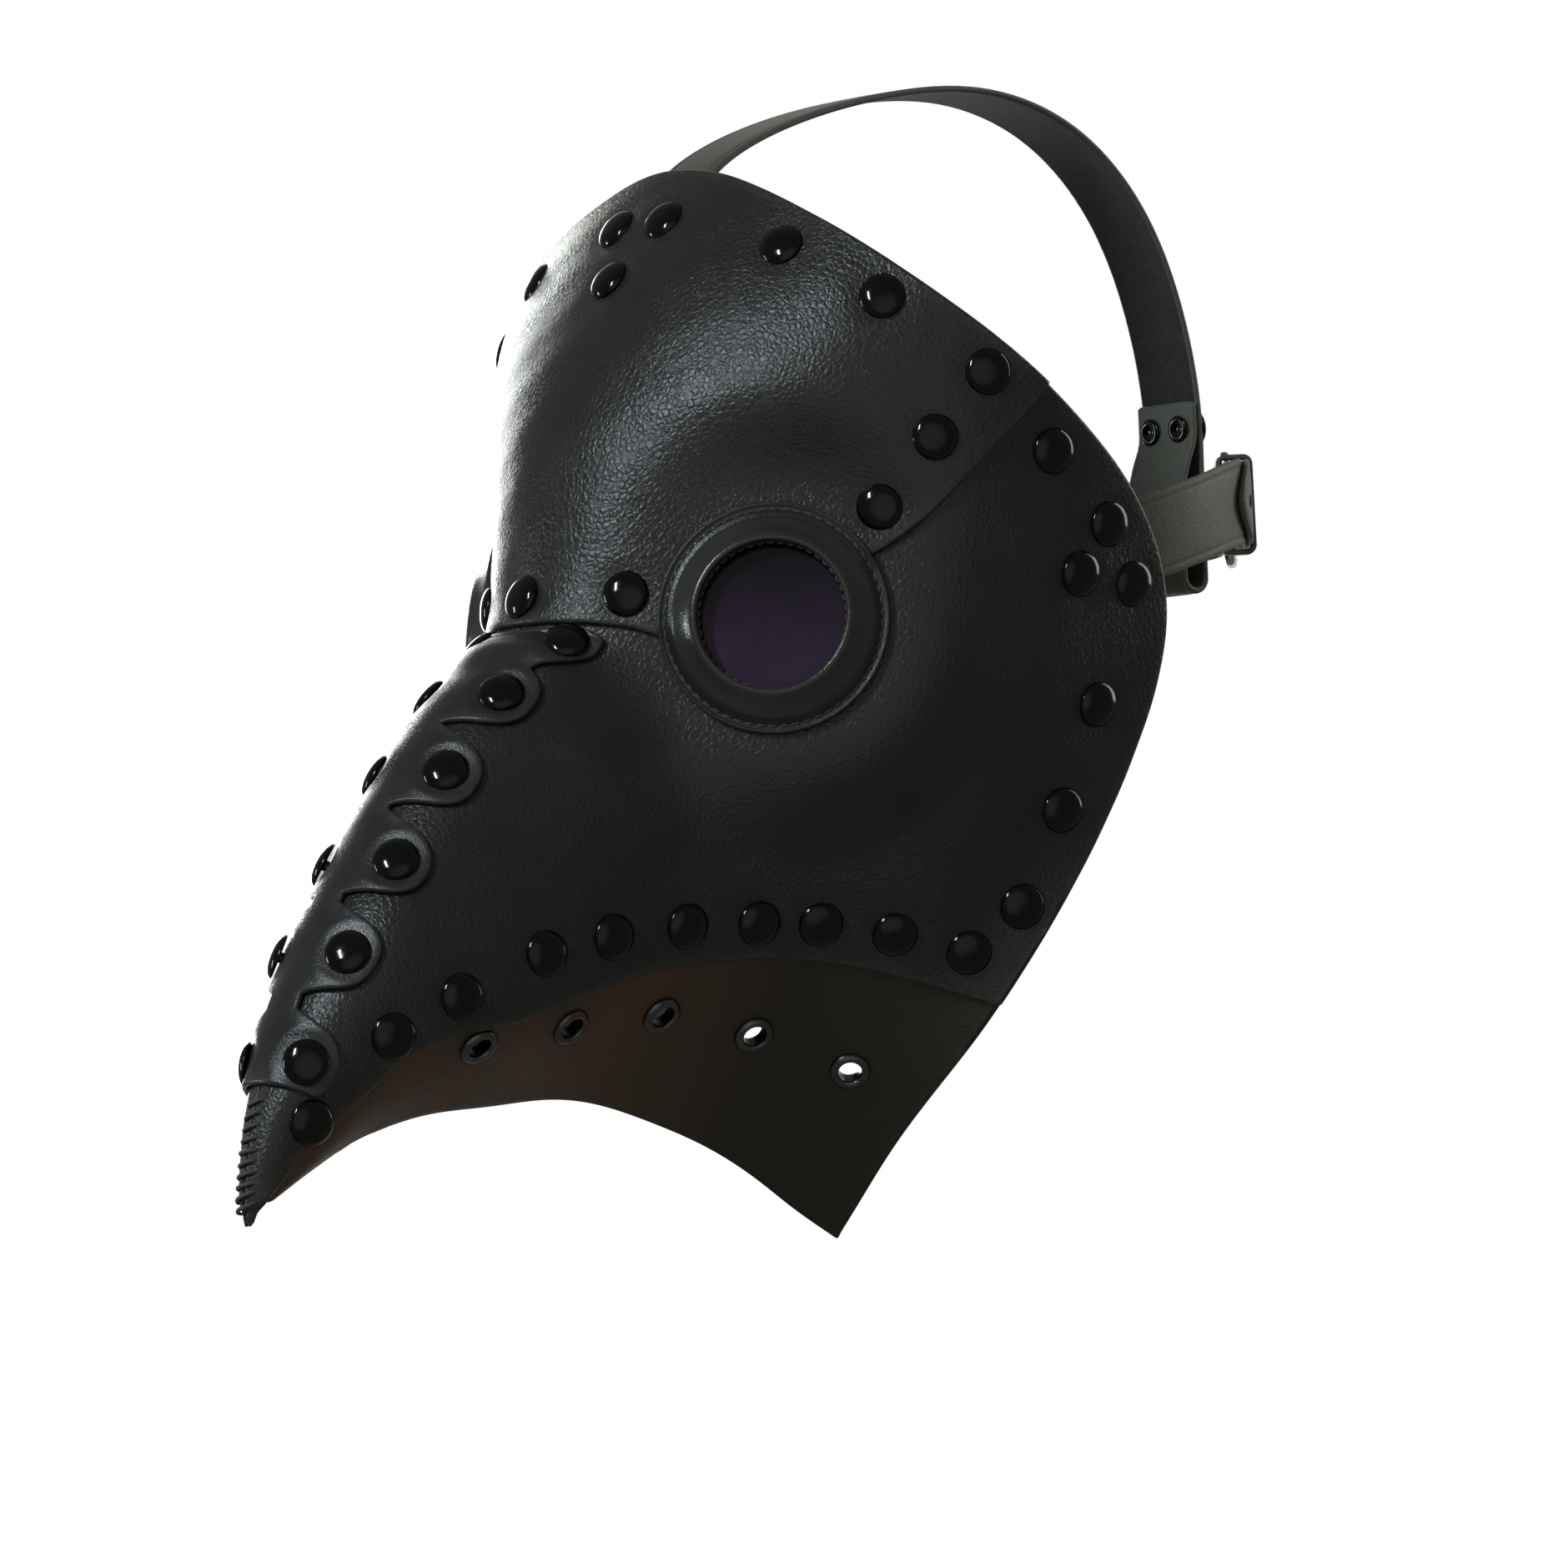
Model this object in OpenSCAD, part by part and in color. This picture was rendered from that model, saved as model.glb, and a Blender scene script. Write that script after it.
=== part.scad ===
// Plague doctor mask: leather panels riveted over a long beak, two lensed eye rings and a
// buckled head harness. Millimetres. The front faces -Y, the wearer's left is +X, +Z is up,
// and the origin is the middle of the wearer's head at eye level.

/* [Leather] */
// thickness of each leather panel
leather_t = 1.8; // [1.4:0.1:2]
// gap left between two panels laid over each other
lay_gap = 0.2; // [0.1:0.05:0.4]

/* [Eyes] */
// outer radius of the stitched eye flange
flange_r = 29; // [27.5:0.5:30]
// radius of the visible lens opening
opening_r = 18.6; // [17:0.1:19]
// height of the raised rim above the flange
rim_h = 4.4; // [3:0.2:6]
// thickness of each lens
lens_t = 1.2; // [0.8:0.1:1.2]

/* [Rivets] */
// radius of a domed rivet cap
cap_r = 5.8; // [4.5:0.1:6]
// height of a rivet cap
cap_h = 2.4; // [1.8:0.1:3]
// radius of a rivet post
post_r = 1.4; // [1:0.1:1.8]

/* [Breather eyelets] */
// outer radius of an eyelet collar
eyelet_r = 5.2; // [4.6:0.1:5.6]
// radius of the open hole through an eyelet
eyelet_hole_r = 2.9; // [2:0.1:3.2]

/* [Harness] */
// width of the straps
strap_w = 22; // [18:0.5:22]
// thickness of the straps
strap_t = 1.8; // [1.4:0.1:1.8]
// radius of the buckle wire
wire_r = 1.4; // [1.2:0.05:1.4]
// slot length that the prong passes through
slot_l = 10.2; // [10:0.1:10.4]

/* [Hidden] */

black = [0.07, 0.07, 0.075];
gloss = [0.03, 0.03, 0.035];
brown = [0.12, 0.09, 0.08];
steel = [0.55, 0.56, 0.58];

// Form of the left half. Each rib starts on the mid plane at the top (beak ridge, then
// forehead) and ends on the mid plane below (keel). Rib 0 is the beak tip, rib 7 the bridge
// of the nose and rib 11 the rear opening. Point 3 of ribs 7 to 11 lies on the brow seam and
// point 6 of each rib on the jaw edge.
ribs = [
  [[0, -213.4, -142.2], [0.8, -213.1, -142], [1.4, -212.6, -141.6], [1.8, -212.1, -141.2],
   [1.9, -211.6, -140.8], [1.9, -211.1, -140.4], [1.7, -210.7, -140], [1, -210.4, -139.6],
   [0, -210.3, -139.4]],
  [[0, -210.5, -124], [3.4, -209.4, -124.2], [5.5, -206.7, -124.8], [6.2, -203.6, -125.8],
   [6.4, -201.2, -127], [6.3, -199.8, -128], [5.9, -199, -129.2], [3.5, -199, -132.3],
   [0, -199.6, -134.4]],
  [[0, -203.3, -103.5], [6.2, -202.2, -104], [10.1, -199, -105.6], [12.1, -195.2, -107.6],
   [12.9, -191.5, -110], [13, -188.5, -112.5], [12.3, -185.5, -115.2], [7.3, -182.8, -120.4],
   [0, -180, -124.4]],
  [[0, -190.5, -77.5], [9.3, -189, -79], [16.1, -185.2, -82], [19.3, -182, -86.5],
   [20.6, -178.5, -91.5], [20.8, -174.8, -97], [19.3, -171, -103], [11, -164, -111.3],
   [0, -157.5, -118.8]],
  [[0, -175, -56], [10.5, -173, -58], [18.5, -168, -64], [22.5, -164, -71],
   [25, -160, -79], [25.5, -155.5, -88.5], [24.5, -149.5, -98.5], [13.5, -141.5, -108],
   [0, -133, -117]],
  [[0, -157.5, -33.5], [11.5, -155, -35.5], [20.5, -149, -42.5], [26, -144, -52],
   [29, -139, -63], [29.5, -133, -76.5], [27, -126.5, -91.5], [15, -116.5, -105],
   [0, -106.5, -117.5]],
  [[0, -138.5, -13], [12.5, -136, -15], [22.5, -128.5, -21.5], [30, -122, -32.5],
   [33.5, -116.5, -47], [34, -109.5, -65], [31, -101.5, -84], [17, -93.5, -104.5],
   [0, -84.5, -123.5]],
  [[0, -117, 2], [14, -112, 2], [25, -102.5, 1], [38, -94, -8],
   [45, -87, -27], [42, -80.5, -55], [36, -74, -83.5], [19.5, -70, -108],
   [0, -64, -132.5]],
  [[0, -110, 30], [19, -105, 28], [37, -93, 19], [54, -75, 8],
   [66, -67, -17], [57, -61, -51], [43, -54, -86.5], [23, -54, -112.5],
   [0, -51.5, -139]],
  [[0, -100, 59], [27, -95, 55], [53, -82, 43], [73, -58, 21],
   [82, -38.5, -10], [68, -39, -54], [50, -39, -91], [27, -41.5, -117.5],
   [0, -42, -145.5]],
  [[0, -82, 89], [36, -77, 84], [68, -66, 68], [87, -40, 37],
   [87, -13, -6], [73, -20, -54], [56, -28.5, -95.5], [30, -32.5, -122.5],
   [0, -34, -151]],
  [[0, -60, 117], [40, -60, 106], [77, -52, 84], [95, -23, 55],
   [89, 21, 6], [78, 1, -55], [62, -21, -99], [32, -25.5, -126],
   [0, -26, -156]]
];
last_u = len(ribs) - 1;
last_v = len(ribs[0]) - 1;

// Left eye: centre on the form, and the direction it looks in.
eye = [52, -79.5, 0];
eye_az = 45;
eye_up = 6;
eye_n = [sin(eye_az) * cos(eye_up), -cos(eye_az) * cos(eye_up), sin(eye_up)];
// The form is flat inside flat_r and blends back to its own shape at blend_r.
flat_r = 31;
blend_r = 60;
panel_hole_r = 21.5;

// Layer heights above the form, measured along its normal.
forehead_lo = leather_t + lay_gap;
forehead_hi = forehead_lo + leather_t;
chin_hi = -lay_gap;
chin_lo = chin_hi - leather_t;
strip_t = 1.6;
flange_z = forehead_hi + lay_gap;
flange_t = 2.6;
rebate_h = lens_t + 0.2;
rebate_r = 20.1;
retainer_z = -2.3;

// Rivet places as [rib position, position along the rib].
top_edge_at = [[10.55, 1.25], [10.6, 2]];
top_strap_at = [[10.5, 0.24], [10.5, -0.24], [9.98, 0]];
bridge_at = [[7.3, 1.66], [7.24, 0], [7.3, -1.66]];
seam_at = [[10.65, 2.7], [9.85, 2.74], [9.1, 2.84]];
cheek_at = [[10.6, 3.2], [10.4, 4.42], [10.38, 4.92], [10.38, 5.42]];
side_strap_at = [[10.66, 3.62], [10.24, 3.75], [10.7, 3.92]];
jaw_at = [[9.8, 5.73], [8.55, 5.71], [7.6, 5.71], [6.9, 5.68], [6.2, 5.58],
  [5.45, 5.34], [4.7, 5], [3.65, 4.85], [2.72, 4.5], [1.42, 3.12]];
ridge_at = [[6.63, 1.3], [5.93, 1.06], [5.02, 1.07], [4.06, 1.18], [3.05, 1.35], [2, 1.7]];
eyelet_at = [[3.65, 6.3], [4.8, 6.45], [5.9, 6.6], [7.05, 6.77], [8.75, 6.85]];

// Buckle: middle of its hinge bar, and the turn of its local frame, whose +x runs along the
// strap towards the left ear and +y points away from the head.
buckle_at = [53, 74.5, 28];
buckle_turn = -36.87;
bar_gap = 16;
bar_rise = 2.2;
arm_z = 13.5;
pin_clear = 0.08;
keeper_x = 10;
keeper_l = 5;

// Harness routes: the side strap runs around the head from the left cheek to the right one,
// the top strap from inside the forehead over the crown to a loop at the back.
side_route = [[86.6, -16, 10], [86.8, -3, 12.5], [88.6, 12, 17], [87.5, 28, 21],
  [83, 44, 25], [75, 58, 28], [63, 67, 28], [51, 76, 28], [39, 85, 28], [27, 94, 28],
  [12, 100, 28], [-4, 101, 28], [-20, 98, 28], [-38, 88, 28], [-55, 74, 28],
  [-70, 59, 27], [-81, 43, 25], [-87.5, 28, 21], [-88.6, 12, 17], [-86.8, -3, 12.5],
  [-86.6, -16, 10]];
bar_t = 6 + 12.5 / 15;
top_route = [[-88, 77], [-80.6, 88.2], [-70, 102.2], [-59, 115.5], [-46, 124],
  [-27, 131.5], [0, 138], [35, 141], [68, 131], [91, 108], [102, 80], [105.5, 58],
  [105.5, 44], [105.3, 30], [105, 19]];

// ---- vectors and splines ----
function unit(a) = a / norm(a);
function flip(p) = [-p[0], p[1], p[2]];
function basis(t) = [pow(1 - t, 3), 3 * t * t * t - 6 * t * t + 4,
  -3 * t * t * t + 3 * t * t + 3 * t + 1, t * t * t] / 6;
// A list with one more point at each end, so the curve runs to both of its ends.
function grow(a) = concat([2 * a[0] - a[1]], a, [2 * a[len(a) - 1] - a[len(a) - 2]]);
// The same along a rib: its start is mirrored, so the form is smooth over the ridge.
function grow_rib(r) = concat([flip(r[1])], r, [2 * r[last_v] - r[last_v - 1]]);
// Control points pushed out so that the curve passes by the points it was given.
function push(a, g) = [for (i = [0:len(a) - 1]) a[i] + (2 * a[i] - g[i] - g[i + 2]) / 6];
net = [for (r = grow([for (s = push(ribs, grow(ribs))) push(s, grow_rib(s))])) grow_rib(r)];

function rib(u) = let (
    k = min(max(floor(u), 0), last_u - 1),
    b = basis(u - k)
  ) b[0] * net[k] + b[1] * net[k + 1] + b[2] * net[k + 2] + b[3] * net[k + 3];
function along(r, v) = let (
    k = min(max(floor(v), 0), last_v - 1),
    b = basis(v - k)
  ) b[0] * r[k] + b[1] * r[k + 1] + b[2] * r[k + 2] + b[3] * r[k + 3];
function ease(t) = let (c = min(max(t, 0), 1)) c * c * (3 - 2 * c);
function settle(p) = let (
    h = (p - eye) * eye_n,
    d = norm(p - h * eye_n - eye)
  ) p - ease((blend_r - d) / (blend_r - flat_r)) * h * eye_n;

// Just before the forehead's edge the top of the beak swells and is then pressed in, which
// makes a level shelf under the edge.
function shelf(u, v) = ease((2.6 - v) / 1.2)
  * (2.2 * exp(-pow((u - 6.4) / 0.17, 2)) - 1.9 * exp(-pow((u - 6.86) / 0.13, 2)));

// Point and outward normal of the form. v below 0 is the right half across the ridge and v
// above last_v the right half across the keel, where the normal is mitred for the fold.
step = 0.02;
function across(v) = abs(v > last_v ? 2 * last_v - v : v);
function on_right(v) = v < 0 || v > last_v;
function spot(r, u, v) = settle(along(r, v)) + [0, 0, shelf(u, v)];
function lay(r, ra, rb, u, v, h) = let (
    w = across(v),
    p = spot(r, u, w),
    du = spot(rb, u + step, w) - spot(ra, u - step, w),
    up = spot(r, u, min(w + step, last_v)),
    dn = w < step ? flip(spot(r, u, step - w)) : spot(r, u, w - step),
    n = unit(cross(up - dn, du)),
    m = w > last_v - 0.001 ? [0, n[1], n[2]] / (n[1] * n[1] + n[2] * n[2])
      : w < 0.001 ? unit([0, n[1], n[2]]) : n,
    q = p + h * m
  ) on_right(v) ? flip(q) : q;
function row(u, vs, h) = let (
    r = rib(u),
    ra = rib(max(u - step, 0)),
    rb = rib(min(u + step, last_u))
  ) [for (v = vs) lay(r, ra, rb, u, v, h)];
function form(u, v, h) = row(u, [v], h)[0];
function form_n(u, v) = unit(form(u, v, 1) - form(u, v, 0));

// A curve through hand-set points, its direction, and a point on it.
function curve_net(a) = grow(push(a, grow(a)));
function curve_at(c, t) = along_any(c, t, len(c) - 3);
function along_any(c, t, n) = let (
    k = min(max(floor(t), 0), n - 1),
    b = basis(t - k)
  ) b[0] * c[k] + b[1] * c[k + 1] + b[2] * c[k + 2] + b[3] * c[k + 3];

// ---- panel outlines on the form ----
// lower edge of a side panel, upper edge of a side panel, forehead edge, top of the chin piece
jaw_edge = [[0, 2.6], [0.6, 3.3], [1.4, 4.75], [2, 5.5], [3, 5.75], [4, 5.9], [5, 5.96], [6, 6], [11, 6]];
side_top = [[0, 0.03], [7.3, 0.03], [7.7, 0.6], [8.3, 1.9], [9, 2.4], [11, 2.45]];
brow_edge = [[7, 2.4], [7.5, 2.9], [8, 3.1], [9, 3.1], [10, 2.98], [11, 2.96]];
chin_top = [[0, 1.9], [1, 2.2], [1.5, 2.4], [2.7, 3.8], [3.65, 4.2], [4.7, 4.5],
  [5.45, 4.9], [6.2, 5.15], [7, 5.3], [9, 5.4], [9.8, 5.58], [11, 5.62]];
// length in mm of the first rib interval, used to size the ridge strip
ridge_arc = [[1, 3.4], [2, 5.6], [3, 8.9], [4, 10.9], [5, 11.9], [6, 12.8], [7, 14.7], [8, 19]];
lobe = 0.39;
waist = 5;
lobe_over = 8;
function bump(d) = abs(d) < lobe ? pow(1 - pow(abs(d) / lobe, 2.6), 0.55) : 0;
function strip_half(u) = let (
    a = lookup(u, ridge_arc),
    w = waist / a,
    full = [for (p = ridge_at) bump(u - p[0]) * (p[1] + lobe_over / a - w)]
  ) w + max(full);
function spread(a, b, n) = [for (i = [0:n]) a + (b - a) * i / n];

// ---- solids from rows of points ----
function cell(a, b, c, d) = [[a, b, c], [a, c, d]];
function wrap(n, m, base, dir) = [for (i = [0:n - 2]) for (j = [0:m - 2]) let (
    a = base + i * m + j
  ) each dir ? cell(a, a + m, a + m + 1, a + 1) : cell(a, a + 1, a + m + 1, a + m)];
function rim_faces(n, m) = let (s = n * m) concat(
  [for (j = [0:m - 2]) each cell(j, j + 1, s + j + 1, s + j)],
  [for (j = [0:m - 2]) let (k = (n - 1) * m + j) each cell(k + 1, k, s + k, s + k + 1)],
  [for (i = [0:n - 2]) let (k = i * m) each cell(k + m, k, s + k, s + k + m)],
  [for (i = [0:n - 2]) let (k = i * m + m - 1) each cell(k, k + m, s + k + m, s + k)]);
module sheet(hi, lo) {
  n = len(hi);
  m = len(hi[0]);
  polyhedron(
    points = concat([for (r = hi) each r], [for (r = lo) each r]),
    faces = concat(wrap(n, m, 0, true), wrap(n, m, n * m, false), rim_faces(n, m)),
    convexity = 8);
}
// A flat strap along a list of [centre, width direction, thickness direction].
module band(stations, w, t) {
  hi = [for (s = stations) [s[0] + s[1] * w / 2 + s[2] * t / 2, s[0] - s[1] * w / 2 + s[2] * t / 2]];
  lo = [for (s = stations) [s[0] + s[1] * w / 2 - s[2] * t / 2, s[0] - s[1] * w / 2 - s[2] * t / 2]];
  sheet(hi, lo);
}

// ---- placing round pieces ----
module face_to(p, n) {
  translate(p) rotate([0, acos(n[2]), atan2(n[1], n[0])]) children();
}
module on_form(u, v, h) {
  face_to(form(u, v, h), form_n(u, v)) children();
}
module at_eye(h) {
  face_to(eye + h * eye_n, eye_n) children();
}
module other_side() {
  mirror([1, 0, 0]) children();
}
module both_sides() {
  children();
  other_side() children();
}
module at_buckle() {
  translate(buckle_at) rotate([0, 0, buckle_turn]) children();
}

// ---- panels ----
module forehead_panel() {
  us = concat([6.98], spread(7.25, last_u, 15));
  function vs(u) = let (e = lookup(u, brow_edge)) spread(-e, e, 24);
  color(black) difference() {
    sheet([for (u = us) row(u, vs(u), forehead_hi)], [for (u = us) row(u, vs(u), forehead_lo)]);
    both_sides() at_eye(-10) cylinder(h = 24, r = panel_hole_r, $fn = 96);
  }
}
// rib positions that the side panels and the chin piece share, closer together at the shelf
rows = concat(spread(0.7, 6.1, 13), spread(6.25, 6.95, 7), [7.1, 7.3, 7.5, 7.7, 8, 8.3],
  spread(8.65, last_u, 7));
module side_panel() {
  us = concat([0, 0.3], rows);
  function vs(u) = spread(lookup(u, side_top), lookup(u, jaw_edge), 18);
  difference() {
    sheet([for (u = us) row(u, vs(u), leather_t)], [for (u = us) row(u, vs(u), 0)]);
    at_eye(-10) cylinder(h = 24, r = panel_hole_r, $fn = 96);
  }
}
module side_panel_left() {
  color(black) side_panel();
}
module side_panel_right() {
  color(black) other_side() side_panel();
}
module chin_panel() {
  us = concat([0.3], rows);
  function vs(u) = let (e = lookup(u, chin_top))
    concat(spread(e, last_v, 11), [for (v = spread(last_v, e, 11)) if (v < last_v) 2 * last_v - v]);
  color(brown) difference() {
    sheet([for (u = us) row(u, vs(u), chin_hi)], [for (u = us) row(u, vs(u), chin_lo)]);
    both_sides() for (p = eyelet_at) on_form(p[0], p[1], -6) cylinder(h = 12, r = 3.5);
  }
}
module ridge_strip() {
  us = spread(1.7, 6.93, 72);
  function vs(u) = spread(-strip_half(u), strip_half(u), 8);
  color(black) sheet(
    [for (u = us) row(u, vs(u), forehead_lo + strip_t)],
    [for (u = us) row(u, vs(u), forehead_lo)]);
}
module tip_stitching() {
  color(gloss) for (u = spread(0.15, 1.35, 8)) let (p = form(u, 0, leather_t + 0.6))
    translate(p) rotate([0, 90, 0]) cylinder(h = 3.4, r = 0.55, center = true);
}

// ---- eyes ----
module eye_flange() {
  at_eye(flange_z) rotate_extrude($fn = 96) polygon([
    [rebate_r, 0], [flange_r, 0], [flange_r, 1.4], [flange_r - 1, flange_t],
    [opening_r + 0.2, flange_t], [opening_r + 0.2, rebate_h], [rebate_r, rebate_h]]);
}
module eye_rim() {
  at_eye(flange_z + flange_t) rotate_extrude($fn = 96) polygon([
    [opening_r, 0.05], [opening_r + 5.4, 0.05], [opening_r + 5, 1.2], [opening_r + 3.8, 2.6],
    [opening_r + 2.6, rim_h], [opening_r + 1.2, rim_h + 0.4], [opening_r + 0.2, rim_h],
    [opening_r, rim_h - 0.8]]);
}
module lens() {
  at_eye(flange_z) cylinder(h = lens_t, r = rebate_r - 0.1, $fn = 96);
}
module lens_retainer() {
  at_eye(retainer_z) rotate_extrude($fn = 96) polygon([
    [opening_r, 0], [27, 0], [27, 1.6], [20.8, 1.6], [20.8, flange_z - retainer_z - 0.1],
    [opening_r, flange_z - retainer_z - 0.1]]);
}
module thread_ring(r) {
  rotate_extrude($fn = 96) translate([r, 0]) circle(r = 0.4, $fn = 16);
}
module ring_stitching() {
  at_eye(flange_z + flange_t + 0.42) {
    thread_ring(flange_r - 1.7);
    translate([0, 0, 0.3]) thread_ring(opening_r - 0.5);
  }
}
module eye_flange_left() {
  color(black) eye_flange();
}
module eye_flange_right() {
  color(black) other_side() eye_flange();
}
module eye_rim_left() {
  color(gloss) eye_rim();
}
module eye_rim_right() {
  color(gloss) other_side() eye_rim();
}
module lens_left() {
  color([0.16, 0.07, 0.22, 0.6]) lens();
}
module lens_right() {
  color([0.16, 0.07, 0.22, 0.6]) other_side() lens();
}
module lens_retainer_left() {
  color(gloss) lens_retainer();
}
module lens_retainer_right() {
  color(gloss) other_side() lens_retainer();
}
module ring_stitching_left() {
  color(gloss) ring_stitching();
}
module ring_stitching_right() {
  color(gloss) other_side() ring_stitching();
}

// ---- rivets: a domed cap outside, a post, and a flat cap inside ----
module rivet(top, bottom) {
  dome = (cap_r * cap_r + (cap_h - 0.5) * (cap_h - 0.5)) / (2 * (cap_h - 0.5));
  union() {
    intersection() {
      translate([0, 0, top + cap_h - dome]) sphere(r = dome);
      translate([0, 0, top]) cylinder(h = cap_h + 1, r = cap_r);
    }
    translate([0, 0, bottom - 0.9]) cylinder(h = top - bottom + 1.4, r = post_r);
    translate([0, 0, bottom - 0.9]) cylinder(h = 0.9, r = 3.6);
  }
}
module rivets(places, top, bottom) {
  for (p = places) on_form(p[0], p[1], 0) rivet(top + 0.05, bottom - 0.05);
}
module top_edge_rivets() {
  color(gloss) both_sides() rivets(top_edge_at, forehead_hi, forehead_lo);
}
module top_strap_rivets() {
  color(gloss) rivets(top_strap_at, forehead_hi, -2.2);
}
module bridge_rivets() {
  color(gloss) rivets(bridge_at, forehead_hi, 0);
}
module seam_rivets_left() {
  color(gloss) rivets(seam_at, forehead_hi, 0);
}
module seam_rivets_right() {
  color(gloss) other_side() rivets(seam_at, forehead_hi, 0);
}
module cheek_rivets_left() {
  color(gloss) rivets(cheek_at, leather_t, 0);
}
module cheek_rivets_right() {
  color(gloss) other_side() rivets(cheek_at, leather_t, 0);
}
module strap_rivets_left() {
  color(gloss) rivets(side_strap_at, leather_t, -4.6);
}
module strap_rivets_right() {
  color(gloss) other_side() rivets(side_strap_at, leather_t, -4.6);
}
module jaw_rivets_left() {
  color(gloss) rivets(jaw_at, leather_t, chin_lo);
}
module jaw_rivets_right() {
  color(gloss) other_side() rivets(jaw_at, leather_t, chin_lo);
}
module ridge_rivets() {
  rivets(ridge_at, forehead_lo + strip_t, 0);
}
module ridge_rivets_left() {
  color(gloss) ridge_rivets();
}
module ridge_rivets_right() {
  color(gloss) other_side() ridge_rivets();
}
module eyelet() {
  translate([0, 0, chin_hi]) difference() {
    union() {
      translate([0, 0, 0.25]) cylinder(h = 0.5, r = eyelet_r);
      translate([0, 0, 0.75]) cylinder(h = 0.8, r1 = eyelet_r, r2 = eyelet_hole_r + 0.9);
      translate([0, 0, -leather_t - 1]) cylinder(h = leather_t + 1.6, r = eyelet_hole_r + 0.5);
      translate([0, 0, -leather_t - 1]) cylinder(h = 0.8, r = eyelet_r - 0.6);
    }
    translate([0, 0, -5]) cylinder(h = 10, r = eyelet_hole_r);
  }
}
module eyelets_left() {
  color(steel) for (p = eyelet_at) on_form(p[0], p[1], 0) eyelet();
}
module eyelets_right() {
  color(steel) other_side() for (p = eyelet_at) on_form(p[0], p[1], 0) eyelet();
}

// ---- harness ----
side_net = curve_net(side_route);
// The strap's width leans out at the cheeks, as the panels do, and stands upright behind.
function side_lean(t) = let (k = ease((min(t, 20 - t) - 2) / 3.5)) 0.15 * (1 - k);
function side_station(t, h) = let (
    p = curve_at(side_net, t),
    d = unit(curve_at(side_net, min(t + 0.02, 20)) - curve_at(side_net, max(t - 0.02, 0))),
    w = unit([side_lean(t) * sign(10 - t), 0, 1]),
    n = unit(cross(w, d)) * -1,
    wide = unit(cross(n, d))
  ) [p + h * n, wide, n];
function local_x(t) = (bar_t - t) * 15;
tail_lift = [[-24, 0], [-18, -0.8], [-13, -0.5], [-6, 3], [-3, 4.5], [3, 4.5], [8, 3],
  [25, 3], [40, 2.2]];
lead_lift = [[0, 2.4], [3, 2.4], [9, 0.95], [25, 0.95], [40, 0]];
function in_buckle(x, y) = [buckle_at[0] + x * 0.8 + y * 0.6,
  buckle_at[1] - x * 0.6 + y * 0.8, buckle_at[2]];
out_dir = [0.6, 0.8, 0];
along_dir = [0.8, -0.6, 0];
function fold_station(a) = [in_buckle(-2.4 * sin(a), 2.4 * cos(a)), [0, 0, 1],
  along_dir * -sin(a) + out_dir * cos(a)];
module side_strap_left() {
  lead = [for (t = concat(spread(0.4, 5.8, 16), [6.1, 6.25, 6.4, 6.6, bar_t]))
    side_station(t, lookup(local_x(t), lead_lift))];
  fold = [for (a = spread(15, 165, 10)) fold_station(a)];
  back = [for (x = [0, 3, 6, 9, 12.5]) [in_buckle(x, -lookup(x, lead_lift)), [0, 0, 1], -out_dir]];
  color(black) difference() {
    band(concat(lead, fold, back), strap_w, strap_t);
    at_buckle() translate([-6, -5, -2]) cube([8.5, 10, 4]);
  }
}
module side_strap_right() {
  ts = concat(spread(4.6, 5.8, 6), spread(6, 8.5, 22), spread(9, 19.6, 24));
  run = [for (t = ts) side_station(t, lookup(local_x(t), tail_lift))];
  color(black) difference() {
    band(run, strap_w, strap_t);
    at_buckle() translate([-0.7 - slot_l / 2, 0, 0]) rotate([90, 0, 0]) {
      for (s = [-1, 1]) translate([s * (slot_l / 2 - 1.8), 0, 0]) cylinder(h = 24, r = 1.8, center = true);
      cube([slot_l - 3.6, 3.6, 24], center = true);
    }
    for (t = [4.95, 5.55, 8.55, 9.3, 10.05]) let (s = side_station(t, 1))
      face_to(s[0], s[2]) cylinder(h = 12, r = 1.8, center = true);
  }
}
top_net = curve_net(top_route);
function top_station(t) = let (
    p = curve_at(top_net, t),
    d = unit(curve_at(top_net, min(t + 0.02, 14)) - curve_at(top_net, max(t - 0.02, 0)))
  ) [[0, p[0], p[1]], [-1, 0, 0], [0, -d[1], d[0]]];
module top_strap() {
  down = [for (t = spread(0.25, 14, 44)) top_station(t)];
  turn = [for (a = spread(20, 160, 7)) [[0, 101.2 + 3.8 * cos(a), 13.5 - 3.8 * sin(a)],
    [-1, 0, 0], [0, cos(a), -sin(a)]]];
  up = [[[0, 97.4, 14], [-1, 0, 0], [0, -1, 0]], [[0, 97.4, 24], [-1, 0, 0], [0, -1, 0]],
    [[0, 97.8, 36], [-1, 0, 0], [0, -1, 0]], [[0, 100.6, 44], [-1, 0, 0], [0, -1, 0]],
    [[0, 103.5, 50], [-1, 0, 0], [0, -1, 0]], [[0, 103.6, 60], [-1, 0, 0], [0, -1, 0]]];
  color(black) band(concat(down, turn, up), strap_w, strap_t);
}
module loop_rivets() {
  color(gloss) for (x = [-5.5, 5.5]) translate([x, 106.5, 53]) rotate([-90, 0, 0]) rivet(0, -3.9);
}
module buckle_frame() {
  reach = norm([bar_gap, bar_rise]);
  color(steel) at_buckle() {
    cylinder(h = 2 * arm_z, r = wire_r, center = true);
    translate([-bar_gap, bar_rise, 0]) cylinder(h = 2 * arm_z, r = wire_r, center = true);
    for (s = [-1, 1]) translate([-bar_gap / 2, bar_rise / 2, s * arm_z])
      rotate([0, 0, -atan2(bar_rise, bar_gap)])
        cube([reach + 3.4, 3.2, 2.6], center = true);
  }
}
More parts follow.
